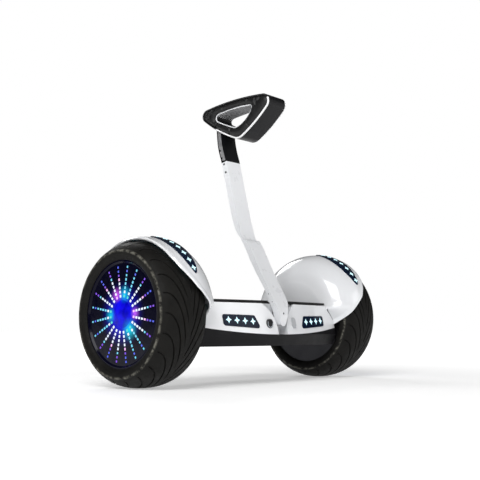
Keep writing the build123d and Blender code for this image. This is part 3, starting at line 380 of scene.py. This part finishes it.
FINISHES = {
    "rim": black_anodised,
    "motor_cover": black_anodised,
    "magnet_ring": nickel,
    "wheel_bearings": ground_steel,
    "led_disc": disc_black,
    "hub_diffuser": hub_glow,
    "stator_cores": laminated,
    "stator_windings": copper,
    "axles": ground_steel,
    "front_fascia": white_gloss,
    "rear_fascia": white_gloss,
    "fender": white_gloss,
    "deck": white_satin,
    "lower_shell": black_shell,
    "fender_lens": smoked,
    "fender_led_strips": LED_COLOURS["cyan"],
    "foot_mat": rubber,
    "headlight_lenses": smoked,
    "tail_light_lenses": red_lens,
    "light_boards": board,
    "power_button": black_gloss,
    "charge_socket": socket_black,
    "charge_flap": flap_grey,
    "frame": cast_aluminium,
    "axle_clamps": machined,
    "chassis_screws": black_oxide,
    "battery_pack": wrap,
    "controller_board": board,
    "sensor_boards": board,
    "pivot_housing": machined,
    "pivot_bushings": bronze,
    "pivot_shaft": ground_steel,
    "stem_lever": spring_steel,
    "centring_spring": spring_steel,
    "stem": stem_paint,
    "stem_screws": grey_screw,
    "neck": black_band,
    "neck_tongue": ground_steel,
    "neck_side_plates": satin_strip,
    "neck_screws": black_oxide,
    "head_core": core_black,
    "head_band": black_band,
    "pad_piping": white_piping,
    "hole_trims": bright_trim,
}
for name, node in nodes.items():
    kind = name.replace("left_", "").replace("right_", "")
    if kind in FINISHES:
        node.data.materials.clear()
        node.data.materials.append(FINISHES[kind].material)


# ---- mesh helpers --------------------------------------------------------------------
def modified(name, mesh, kind, **settings):
    """The mesh that a modifier makes of a mesh."""
    blank = bpy.data.objects.new(name, mesh)
    bpy.context.scene.collection.objects.link(blank)
    modifier = blank.modifiers.new(kind.lower(), kind)
    for key, value in settings.items():
        setattr(modifier, key, value)
    seen = blank.evaluated_get(bpy.context.evaluated_depsgraph_get())
    result = bpy.data.meshes.new_from_object(seen)
    bpy.data.objects.remove(blank)
    return result


def add_object(name, points, faces, materials, body, indices=None, sharp=35):
    """A smooth mesh object that rides on a body and takes its finish from a slot."""
    mesh = bpy.data.meshes.new(name)
    mesh.from_pydata([tuple(p) for p in points], [], faces)
    for shader in materials:
        mesh.materials.append(shader.material)
    if indices is not None:
        mesh.polygons.foreach_set("material_index", indices)
    mesh.update()
    work = bmesh.new()
    work.from_mesh(mesh)
    bmesh.ops.recalc_face_normals(work, faces=work.faces)
    work.to_mesh(mesh)
    work.free()
    mesh.shade_smooth()
    mesh.set_sharp_from_angle(angle=radians(sharp))
    piece = bpy.data.objects.new(name, mesh)
    bpy.context.scene.collection.objects.link(piece)
    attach(piece, body)
    return piece


def smooth_line(points, count):
    """Evenly spread samples of a smooth line through some points."""
    points = np.array(points, float)
    steps = np.hypot(*np.diff(points, axis=0).T)
    run = np.concatenate([[0], np.cumsum(steps)])
    padded = np.vstack([2 * points[0] - points[1], points, 2 * points[-1] - points[-2]])
    samples = []
    for place in np.linspace(0, run[-1], count):
        i = min(int(np.searchsorted(run, place, "right")) - 1, len(points) - 2)
        t = (place - run[i]) / (run[i + 1] - run[i])
        a, b, c, d = padded[i : i + 4]
        square = (2 * a - 5 * b + 4 * c - d) * t**2
        cube = (3 * b - a - 3 * c + d) * t**3
        samples.append(0.5 * (2 * b + (c - a) * t + square + cube))
    return np.array(samples)


def surface_of(*names):
    """Ray-casting tree of some nodes' surfaces."""
    points, faces = [], []
    for name in names:
        mesh = nodes[name].data
        start = len(points)
        points += [v.co.copy() for v in mesh.vertices]
        faces += [[start + i for i in p.vertices] for p in mesh.polygons]
    return BVHTree.FromPolygons(points, faces)


# ---- tyres -----------------------------------------------------------------------------
HALF_PROFILE = [
    (0, 127),
    (12, 126.6),
    (24, 125.0),
    (35, 121.8),
    (43, 117.4),
    (47.6, 113.4),
    (49.8, 110.9),
    (51.3, 110.0),
    (52, 108.4),
    (51.6, 106.4),
    (51.4, 103),
    (50.4, 99),
    (48.6, 95.6),
    (46, 93),
]
BEAD = [(38, 93.1), (-38, 93.1)]
GROOVES = 22
GROOVE_HALF = 1.35
GROOVE_DEPTH = 2.6
# A groove's cross-section: place across it and share of its depth.
GROOVE_CUT = [(-1, 0), (-0.72, 1), (0, 1), (0.72, 1), (1, 0)]
RIB_STATIONS = 6  # rows of points between two grooves
SWEEP = 0.86
TREAD_EDGE = 46.0
TREAD_LOW = 111.0
MIDDLE_BAND = 3.5


def make_tyre(side, x_sign):
    """Tyre with swept grooves, mirrored and shifted by half a pitch across its middle."""
    half = smooth_line(HALF_PROFILE, 58)
    profile = [(-x, r) for x, r in half[:0:-1]] + [tuple(p) for p in half]
    profile += BEAD
    pitch = 2 * pi / GROOVES
    cuts = len(GROOVE_CUT)
    stations = cuts + RIB_STATIONS
    points, faces = [], []
    for groove in range(GROOVES):
        for station in range(stations):
            for x, r in profile:
                reach = min(abs(x) / TREAD_EDGE, 1)
                swept = SWEEP * (1 - (1 - reach) ** 2)
                slope = r * SWEEP * 2 * (1 - reach) / TREAD_EDGE
                half_width = GROOVE_HALF * sqrt(1 + slope**2) / r
                if station < cuts:
                    turn = GROOVE_CUT[station][0] * half_width
                    depth = GROOVE_CUT[station][1] * GROOVE_DEPTH
                else:
                    share = (station - cuts + 1) / (RIB_STATIONS + 1)
                    turn = half_width + share * (pitch - 2 * half_width)
                    depth = 0
                # Grooves stop short of the tread's middle and fade out on the shoulder.
                depth *= min(1, max(0, (abs(x) - MIDDLE_BAND) / 3))
                depth *= min(1, max(0, (47.2 - abs(x)) / 4))
                if r < TREAD_LOW:
                    depth = 0
                offset = pitch / 2 if x < 0 else 0
                blend = min(1, abs(x) / MIDDLE_BAND)
                angle = groove * pitch + turn + (swept + offset) * blend + (pitch / 4) * (1 - blend)
                shrunk = r - depth
                points.append(
                    (
                        x_sign * (TRACK + x * MM),
                        -shrunk * MM * cos(angle),
                        AXLE.z + shrunk * MM * sin(angle),
                    )
                )
    rows = GROOVES * stations
    wide = len(profile)
    for row in range(rows):
        for i in range(wide):
            a = row * wide + i
            b = row * wide + (i + 1) % wide
            c = ((row + 1) % rows) * wide + (i + 1) % wide
            d = ((row + 1) % rows) * wide + i
            faces.append((a, b, c, d))
    tyre = add_object(
        f"{side}_treaded_tyre", points, faces, [tyre_rubber], f"{side}_wheel", sharp=40
    )
    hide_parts(f"{side}_tyre")


for side, x_sign in SIDES:
    make_tyre(side, x_sign)

# ---- light dashes on the wheel discs -----------------------------------------------------
SPOKES = 20
DASHES = 8
BRIGHT_DASHES = 5
DASHES_FROM, DASHES_TO = 27.5, 85.0
DISC_FACE = 0.042  # outwards from the middle of the tyre
# Height above the disc and inset of each layer of a dash, in millimetres.
DASH_LAYERS = ((0.0, 0.0), (0.35, 0.1), (0.7, 0.75))


def dash_colour(turn, ring):
    """Colour of one dash; turn is its angle seen from outside with the front on the right."""
    sector = turn % 360
    green = any(low <= sector <= high for low, high in ((60, 92), (162, 218), (285, 332)))
    pink = any(low <= sector <= high for low, high in ((100, 132), (342, 360), (0, 12)))
    odd = int(sector / 18) % 2
    if ring == 0:
        return "pink" if pink else ("green" if green else "white")
    if ring <= 2:
        return "cyan" if green and ring == 2 else "white"
    if ring <= 4:
        return "cyan" if green else ("pink" if odd and ring == 4 else "white")
    if ring == 5:
        return "cyan" if green or not odd else "violet"
    return "cyan" if green and ring == 7 else ("blue" if odd or green else "violet")


def make_dashes(side, x_sign):
    face = TRACK + DISC_FACE
    points, faces, indices = [], [], []
    names = list(LED_COLOURS)
    pitch = (DASHES_TO - DASHES_FROM) / DASHES
    for spoke in range(SPOKES):
        turn = (spoke + 0.5) * 360 / SPOKES
        along = Vector((0, -cos(radians(turn)), sin(radians(turn))))
        across = Vector((0, -sin(radians(turn)), -cos(radians(turn))))
        for ring in range(DASHES):
            middle = DASHES_FROM + pitch * (ring + 0.5)
            long_half = pitch * (0.31 if ring < BRIGHT_DASHES else 0.25)
            wide_half = 1.95 - 0.07 * ring
            start = len(points)
            for lift, shrink in DASH_LAYERS:
                for u, v in ((-1, -1), (1, -1), (1, 1), (-1, 1)):
                    place = along * (middle + u * (long_half - shrink))
                    place += across * v * (wide_half - shrink)
                    x = x_sign * (face + lift * MM)
                    points.append((x, place.y * MM, AXLE.z + place.z * MM))
            quads = [(0, 1, 2, 3), (8, 9, 10, 11)]
            for base in (0, 4):
                for i in range(4):
                    j = (i + 1) % 4
                    quads.append((base + i, base + j, base + 4 + j, base + 4 + i))
            faces += [tuple(start + i for i in quad) for quad in quads]
            indices += [names.index(dash_colour(turn, ring))] * len(quads)
    piece = add_object(
        f"{side}_light_dashes",
        points,
        faces,
        [LED_COLOURS[n] for n in names],
        f"{side}_wheel",
        indices,
    )
    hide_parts(f"{side}_led_spokes")


for side, x_sign in SIDES:
    make_dashes(side, x_sign)


# ---- fenders -------------------------------------------------------------------------------
# The fender across its crown: |X| and radius from the axle, in millimetres.
FENDER_LINE = [(173, 72), (180, 101), (197, 122), (224, 134.5), (250, 136.5), (274, 133.5)]
# The rim edge's |X| at some angles up from the front.
RIM_ANGLES = [8.7, 13, 19, 28, 35, 45, 60, 90]
RIM_PLACES = [216, 225, 241, 256, 265, 271.5, 274, 274]
HOOD_START = 16.1
# The seam with the front cover, and the rim edge's way down to the seam's foot.
SEAM = [(173, -83.9, 147), (185, -83.9, 134.5), (196.5, -83.9, 121.5), (197.4, -84.5, 112)]
RIM_DROP = [(216, -129.6, 148), (207, -124, 136), (200.6, -109, 125), (197.4, -84.5, 112)]
LIP = 9.0
ACROSS = 46
HOOD_ROWS = 96
BLEND_ROWS = 22
WALL_ROWS = 4
WALL_FOOT = 0.1468
DECK_LINE = 0.1469
SHELL_THICKNESS = 0.0026


def fender_section(angle, count):
    """Points across the fender at one angle, from the deck side to the rim edge."""
    line = smooth_line(FENDER_LINE, 160)
    edge = float(np.interp(min(angle, 180 - angle), RIM_ANGLES, RIM_PLACES))
    end = (edge, np.interp(edge, line[:, 0], line[:, 1]))
    line = np.array([p for p in line if p[0] <= edge] + [end])
    run = np.concatenate([[0], np.cumsum(np.hypot(*np.diff(line, axis=0).T))])
    points = []
    for place in np.linspace(0, run[-1], count):
        x = float(np.interp(place, run, line[:, 0]))
        r = float(np.interp(place, run, line[:, 1]))
        # A low step runs along the rim, with the edge itself turned in.
        from_edge = run[-1] - place
        r += 0.9 / (1 + exp((from_edge - LIP) * 1.6)) - 2.2 * max(0, 1 - from_edge / 2.5) ** 2
        y, z = -r * cos(radians(angle)), AXLE.z / MM + r * sin(radians(angle))
        points.append(Vector((x, y, z)))
    return points


def along_path(path, share):
    """The point that lies some share of the way along a chain of points."""
    steps = [(Vector(b) - Vector(a)).length for a, b in zip(path, path[1:])]
    runs = [sum(steps[:i]) for i in range(len(path))]
    return Vector([float(np.interp(share * runs[-1], runs, c)) for c in zip(*path)])


def blend_rows(start_row, count):
    """Rows that carry the fender's front end down to the body's corner."""
    drop = [tuple(start_row[-1])] + RIM_DROP
    whole = Vector(drop[-1]) - Vector(drop[0])
    rows = []

    def smooth_along(share):
        """Point on the dropping rim, its corners eased by averaging near it."""
        reach = 0.09 * min(share, 1 - share) / 0.5
        near = [along_path(drop, share + reach * k) for k in (-1, -0.5, 0, 0.5, 1)]
        return sum(near, Vector()) / len(near)

    for row in range(1, count + 1):
        share = row / count
        shift = smooth_along(share) - Vector(drop[0])
        points = []
        for i, begin in enumerate(start_row):
            across = i / (len(start_row) - 1)
            weight = across**0.8
            finish = along_path(SEAM, across)
            points.append(begin + shift * weight + (finish - begin - whole * weight) * share)
        rows.append(points)
    return rows


def fender_sheet(side, x_sign):
    """One-sided sheet of the fender, open where its lens shows, with its inner wall."""
    angles = np.linspace(HOOD_START, 180 - HOOD_START, HOOD_ROWS)
    rows = [fender_section(a, ACROSS) for a in angles]
    front_rows = blend_rows(rows[0], BLEND_ROWS)
    rear_rows = [[Vector((p.x, -p.y, p.z)) for p in row] for row in front_rows]
    hood = (len(front_rows), len(front_rows) + len(rows))
    rows = front_rows[::-1] + rows + rear_rows
    work = bmesh.new()
    grid = [
        [work.verts.new((x_sign * p.x * MM, p.y * MM, p.z * MM)) for p in row] for row in rows
    ]
    lens = surface_of(f"{side}_fender_lens")

    def under_lens(vert):
        outward = (vert.co - Vector((vert.co.x, 0, AXLE.z))).normalized()
        return lens.ray_cast(vert.co - outward * 0.0002, outward, 0.01)[0] is not None

    covered = [[under_lens(v) for v in row] for row in grid]
    for i in range(len(grid) - 1):
        for j in range(ACROSS - 1):
            corners = ((i, j), (i + 1, j), (i + 1, j + 1), (i, j + 1))
            if all(covered[a][b] for a, b in corners):
                continue
            work.faces.new([grid[a][b] for a, b in corners])
    # Flat inner wall beside the foot mat, down to the deck.
    previous = None
    for i in range(*hood):
        top = grid[i][0]
        column = [top]
        for k in range(1, WALL_ROWS + 1):
            z = top.co.z + (WALL_FOOT - top.co.z) * k / WALL_ROWS
            column.append(work.verts.new((top.co.x, top.co.y, z)))
        if previous:
            for k in range(WALL_ROWS):
                work.faces.new([previous[k], previous[k + 1], column[k + 1], column[k]])
        previous = column
    bmesh.ops.remove_doubles(work, verts=work.verts, dist=0.00005)
    bmesh.ops.recalc_face_normals(work, faces=work.faces)
    crown = max(work.faces, key=lambda f: f.calc_center_median().z)
    if crown.normal.z < 0:
        bmesh.ops.reverse_faces(work, faces=work.faces)
    mesh = bpy.data.meshes.new(f"{side}_fender_shell")
    work.to_mesh(mesh)
    work.free()
    return mesh


def make_fender(side, x_sign):
    shell = modified(
        f"{side}_fender_blank",
        fender_sheet(side, x_sign),
        "SOLIDIFY",
        thickness=SHELL_THICKNESS,
        offset=-1,
    )
    # The part of the moulding below the deck: the side wall and the body's corners.
    work = bmesh.new()
    work.from_mesh(nodes[f"{side}_fender"].data)
    cut = bmesh.ops.bisect_plane(
        work,
        geom=list(work.verts) + list(work.edges) + list(work.faces),
        plane_co=(0, 0, DECK_LINE),
        plane_no=(0, 0, 1),
        clear_outer=True,
    )
    edges = [e for e in cut["geom_cut"] if isinstance(e, bmesh.types.BMEdge)]
    bmesh.ops.holes_fill(work, edges=edges)
    work.from_mesh(shell)
    work.to_mesh(shell)
    work.free()
    shell.materials.clear()
    shell.materials.append(white_gloss.material)
    shell.polygons.foreach_set("material_index", [0] * len(shell.polygons))
    shell.shade_smooth()
    shell.set_sharp_from_angle(angle=radians(40))
    fender = bpy.data.objects.new(f"{side}_fender_moulding", shell)
    bpy.context.scene.collection.objects.link(fender)
    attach(fender, "chassis")
    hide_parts(f"{side}_fender")


for side, x_sign in SIDES:
    make_fender(side, x_sign)

# ---- diodes behind the lenses ------------------------------------------------------------
STAR_LAYERS = ((-0.0002, 1.0), (0.00025, 0.92), (0.0004, 0.35))  # height and scale


def star_shape(outer, inner):
    """Outline of a star of four spikes, pointing along and across."""
    outline = []
    for i in range(8):
        radius = outer if i % 2 == 0 else inner
        outline.append((radius * cos(pi * i / 4), radius * sin(pi * i / 4)))
    return outline


def add_stars(name, tree, rays, outline, along_hint):
    """Small raised lit stars laid on a surface where some rays meet it."""
    points, faces = [], []
    for origin, direction in rays:
        hit, normal, _, _ = tree.ray_cast(origin, direction)
        if hit is None:
            continue
        outward = normal if normal.dot(direction) < 0 else -normal
        along = (along_hint - outward * along_hint.dot(outward)).normalized()
        across = outward.cross(along)
        start = len(points)
        count = len(outline)
        for height, scale in STAR_LAYERS:
            for u, v in outline:
                points.append(hit + outward * height + (along * u + across * v) * scale)
        for ring in range(2):
            for i in range(count):
                j = (i + 1) % count
                low, high = start + ring * count, start + (ring + 1) * count
                faces.append((low + i, low + j, high + j, high + i))
        faces.append(tuple(start + 2 * count + i for i in range(count)))
        faces.append(tuple(start + i for i in reversed(range(count))))
    add_object(name, points, faces, [lamp_led], "chassis")


for side, x_sign in SIDES:
    rays = []
    for i in range(7):
        angle = radians(34 + 7.4 * i)
        inward = Vector((0, cos(angle), -sin(angle)))
        middle = Vector((x_sign * (0.2375 + 0.0004 * i), 0, AXLE.z))
        rays.append((middle - inward * 0.2, inward))
    add_stars(
        f"{side}_fender_diodes",
        surface_of(f"{side}_fender_lens"),
        rays,
        star_shape(0.0062, 0.0029),
        Vector((0, 0.4, 1)),
    )
    rays = []
    for i in range(4):
        place = Vector((x_sign * (0.134 - 0.0187 * i), -0.2, 0.1185 - 0.0009 * i))
        rays.append((place, Vector((0, 1, 0))))
    add_stars(
        f"{side}_headlight_diodes",
        surface_of("headlight_lenses"),
        rays,
        star_shape(0.0068, 0.0031),
        Vector((1, 0, 0)),
    )

# ---- knee pads ---------------------------------------------------------------------------
# Sewn notches and slits in the pads: start and end in the side view (Y, Z), half-width and depth.
PAD_NOTCHES = [
    ((27, 560), (23, 546), 1.3, 3.2),
    ((-46, 562), (-44, 547), 1.3, 3.2),
    ((40, 517), (45, 507), 1.3, 3.2),
    ((2.5, 501), (3.5, 487), 1.3, 3.2),
    ((-41, 510), (-49, 499), 1.3, 3.0),
    ((52, 549), (61, 534), 1.5, 2.8),
    ((66, 545), (70, 538), 1.4, 2.2),
    ((-65, 550), (-68, 538), 1.5, 2.8),
    ((-77, 553), (-74.5, 546), 1.4, 2.6),
]
PAD_BACK = 20  # |X| of the pad's back, in millimetres
WALL_BAND = (0.0208, 0.0235)  # |X| of the points that mark the pad's outline


def segment_distance(y, z, start, end):
    """Distance from a point of the side view to a straight notch."""
    run_y, run_z = end[0] - start[0], end[1] - start[1]
    share = ((y - start[0]) * run_y + (z - start[1]) * run_z) / (run_y**2 + run_z**2)
    share = min(1, max(0, share))
    return hypot(y - start[0] - share * run_y, z - start[1] - share * run_z)


def make_pad(side, x_sign):
    """Crowned pad over the moulded one, with its seams and slits pressed in."""
    mesh = modified(
        f"{side}_pad_blank",
        nodes[f"{side}_knee_pad"].data.copy(),
        "REMESH",
        mode="VOXEL",
        voxel_size=0.0013,
    )
    walls = [v.co for v in mesh.vertices if WALL_BAND[0] < abs(v.co.x) < WALL_BAND[1]]
    tree = KDTree(len(walls))
    for i, co in enumerate(walls):
        tree.insert((0, co.y, co.z), i)
    tree.balance()
    for v in mesh.vertices:
        _, _, away = tree.find((0, v.co.y, v.co.z))
        away /= MM
        rise = 4.6 + 5.2 * (1 - exp(-away / 5.0))
        y, z = v.co.y / MM, v.co.z / MM
        rise -= 0.35 * sin(y / 7.0) * sin(z / 6.0) * min(1, away / 6)
        for start, end, half_width, depth in PAD_NOTCHES:
            near = segment_distance(y, z, start, end) / half_width
            if near < 3.2:
                rise -= 1.35 * depth * exp(-(near**2) * 0.8)
        if abs(v.co.x) / MM > PAD_BACK + rise:
            v.co.x = x_sign * (PAD_BACK + rise) * MM
    mesh.materials.clear()
    mesh.materials.append(leather.material)
    mesh.shade_smooth()
    pad = bpy.data.objects.new(f"{side}_pad_cover", mesh)
    bpy.context.scene.collection.objects.link(pad)
    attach(pad, "head")
    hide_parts(f"{side}_knee_pad")


for side, x_sign in SIDES:
    make_pad(side, x_sign)

# ---- grip ribs in the hand hole -------------------------------------------------------------
rib_grey = plastic("grey_grip_ribs", (0.34, 0.34, 0.35), 0.5, grain=1500, depth=0.00008, spread=0.2)


# A rib's cross-section: across it and down from the hole's roof, in millimetres.
RIB_SECTION = ((-1.7, -0.3), (-1.2, 0.8), (0, 1.3), (1.2, 0.8), (1.7, -0.3))
RIBS = 7
RIB_PITCH = 6


def make_grip_ribs():
    """Ribs along the roof of the hand hole, laid where rays from below meet it."""
    tree = surface_of("head_core")
    points, faces = [], []
    wide = len(RIB_SECTION)
    for rib in range(RIBS):
        x = (rib - (RIBS - 1) / 2) * RIB_PITCH * MM
        rows = []
        for step in range(33):
            y = (-52 + 3.0 * step) * MM
            hit = tree.ray_cast(Vector((x, y, 0.530)), Vector((0, 0, 1)))[0]
            if hit is None or hit.z > 0.549:
                continue
            rows.append(hit)
        start = len(points)
        for hit in rows:
            for across, down in RIB_SECTION:
                points.append((hit.x + across * MM, hit.y, hit.z - down * MM))
        for row in range(len(rows) - 1):
            for i in range(wide):
                j = (i + 1) % wide
                a = start + row * wide
                faces.append((a + i, a + j, a + wide + j, a + wide + i))
        for row in (0, len(rows) - 1):
            faces.append(tuple(start + row * wide + i for i in range(wide)))
    add_object("grip_ribs", points, faces, [rib_grey], "head")


make_grip_ribs()

# ---- ring light on the power button ---------------------------------------------------------
BUTTON_FACE = (-35, -110.45, 112)
# The ring's cross-section: radius and height above the button's face, in millimetres.
RING_SECTION = ((6.2, 0.0), (6.4, 0.25), (7.2, 0.25), (7.4, 0.0))


def make_button_ring():
    """Arc of light on the button, open on one side."""
    points, faces = [], []
    count = 40
    button_x, button_y, button_z = BUTTON_FACE
    for i in range(count):
        angle = radians(150 + 220 * i / (count - 1))
        for radius, forward in RING_SECTION:
            x = button_x + radius * cos(angle)
            z = button_z + radius * sin(angle)
            points.append((x * MM, (button_y - forward) * MM, z * MM))
    for i in range(count - 1):
        for j in range(4):
            k = (j + 1) % 4
            faces.append((4 * i + j, 4 * i + k, 4 * i + 4 + k, 4 * i + 4 + j))
    faces.append((0, 1, 2, 3))
    faces.append(tuple(4 * (count - 1) + j for j in range(4)))
    add_object("button_ring", points, faces, [ring_led], "button")


make_button_ring()

# ---- floor, light and camera -----------------------------------------------------------------
floor_mesh = bpy.data.meshes.new("floor")
floor_corners = [(-40, -40, 0), (40, -40, 0), (40, 40, 0), (-40, 40, 0)]
floor_mesh.from_pydata(floor_corners, [], [(0, 1, 2, 3)])
floor = bpy.data.objects.new("floor", floor_mesh)
bpy.context.scene.collection.objects.link(floor)
floor_shader = plastic("pale_floor", (0.9, 0.9, 0.9), 0.7, grain=40, depth=0.00005, spread=0.004)
floor_shader.bsdf.inputs["Emission Color"].default_value = (1, 1, 1, 1)
# The floor brightens away from the object, so that it meets the backdrop without a line.
distance = floor_shader.add("ShaderNodeVectorMath", operation="LENGTH")
floor_shader.link(floor_shader.place, distance.inputs[0])
floor_shader.link(
    floor_shader.ramp(distance.outputs["Value"], 0.5, 2.2, 0.4, 1.1),
    floor_shader.bsdf.inputs["Emission Strength"],
)
floor_mesh.materials.append(floor_shader.material)

world = bpy.data.worlds.new("studio")
bpy.context.scene.world = world
world.use_nodes = True
tree = world.node_tree
sky = tree.nodes["Background"]
backdrop = tree.nodes.new("ShaderNodeBackground")
backdrop.inputs["Color"].default_value = (1, 1, 1, 1)
backdrop.inputs["Strength"].default_value = 1.0
# Soft room light, brighter from above. The plain white backdrop shows behind the object.
place = tree.nodes.new("ShaderNodeTexCoord")
split = tree.nodes.new("ShaderNodeSeparateXYZ")
tree.links.new(place.outputs["Generated"], split.inputs[0])
level = tree.nodes.new("ShaderNodeMapRange")
for key, value in (("From Min", -0.15), ("From Max", 0.8), ("To Min", 0.56), ("To Max", 1.3)):
    level.inputs[key].default_value = value
tree.links.new(split.outputs["Z"], level.inputs["Value"])
tree.links.new(level.outputs[0], sky.inputs["Strength"])
path = tree.nodes.new("ShaderNodeLightPath")
choose = tree.nodes.new("ShaderNodeMixShader")
tree.links.new(path.outputs["Is Camera Ray"], choose.inputs[0])
tree.links.new(sky.outputs[0], choose.inputs[1])
tree.links.new(backdrop.outputs[0], choose.inputs[2])
tree.links.new(choose.outputs[0], tree.nodes["World Output"].inputs["Surface"])


def area_light(name, place, target, size, power):
    """Soft rectangular light aimed at a point."""
    data = bpy.data.lights.new(name, "AREA")
    data.shape = "RECTANGLE"
    data.size, data.size_y = size
    data.energy = power
    lamp = bpy.data.objects.new(name, data)
    lamp.location = place
    lamp.rotation_euler = (Vector(target) - Vector(place)).to_track_quat("-Z", "Y").to_euler()
    bpy.context.scene.collection.objects.link(lamp)


area_light("key", (-2.1, -1.1, 2.0), (0, 0, 0.2), (1.8, 1.4), 66)
area_light("fill", (1.5, -2.6, 1.3), (0, 0, 0.2), (1.6, 1.6), 18)
area_light("rim", (0.8, 2.2, 1.8), (0, 0, 0.3), (1.6, 0.8), 22)

camera_data = bpy.data.cameras.new("camera")
camera_data.lens = 60.80
camera_data.sensor_width = 36
camera = bpy.data.objects.new("camera", camera_data)
bpy.context.scene.collection.objects.link(camera)
forward = Vector((0.73141, 0.67278, 0.11143)).normalized()
right = Vector((0.6770, -0.7360, 0)).normalized()
up = right.cross(forward)
camera.matrix_world = Matrix.Translation((-1.18310, -1.08978, 0.09853)) @ Matrix(
    ((right.x, up.x, -forward.x), (right.y, up.y, -forward.y), (right.z, up.z, -forward.z))
).to_4x4()
bpy.context.scene.camera = camera
bpy.context.scene.view_settings.view_transform = "Standard"

bpy.context.view_layer.update()
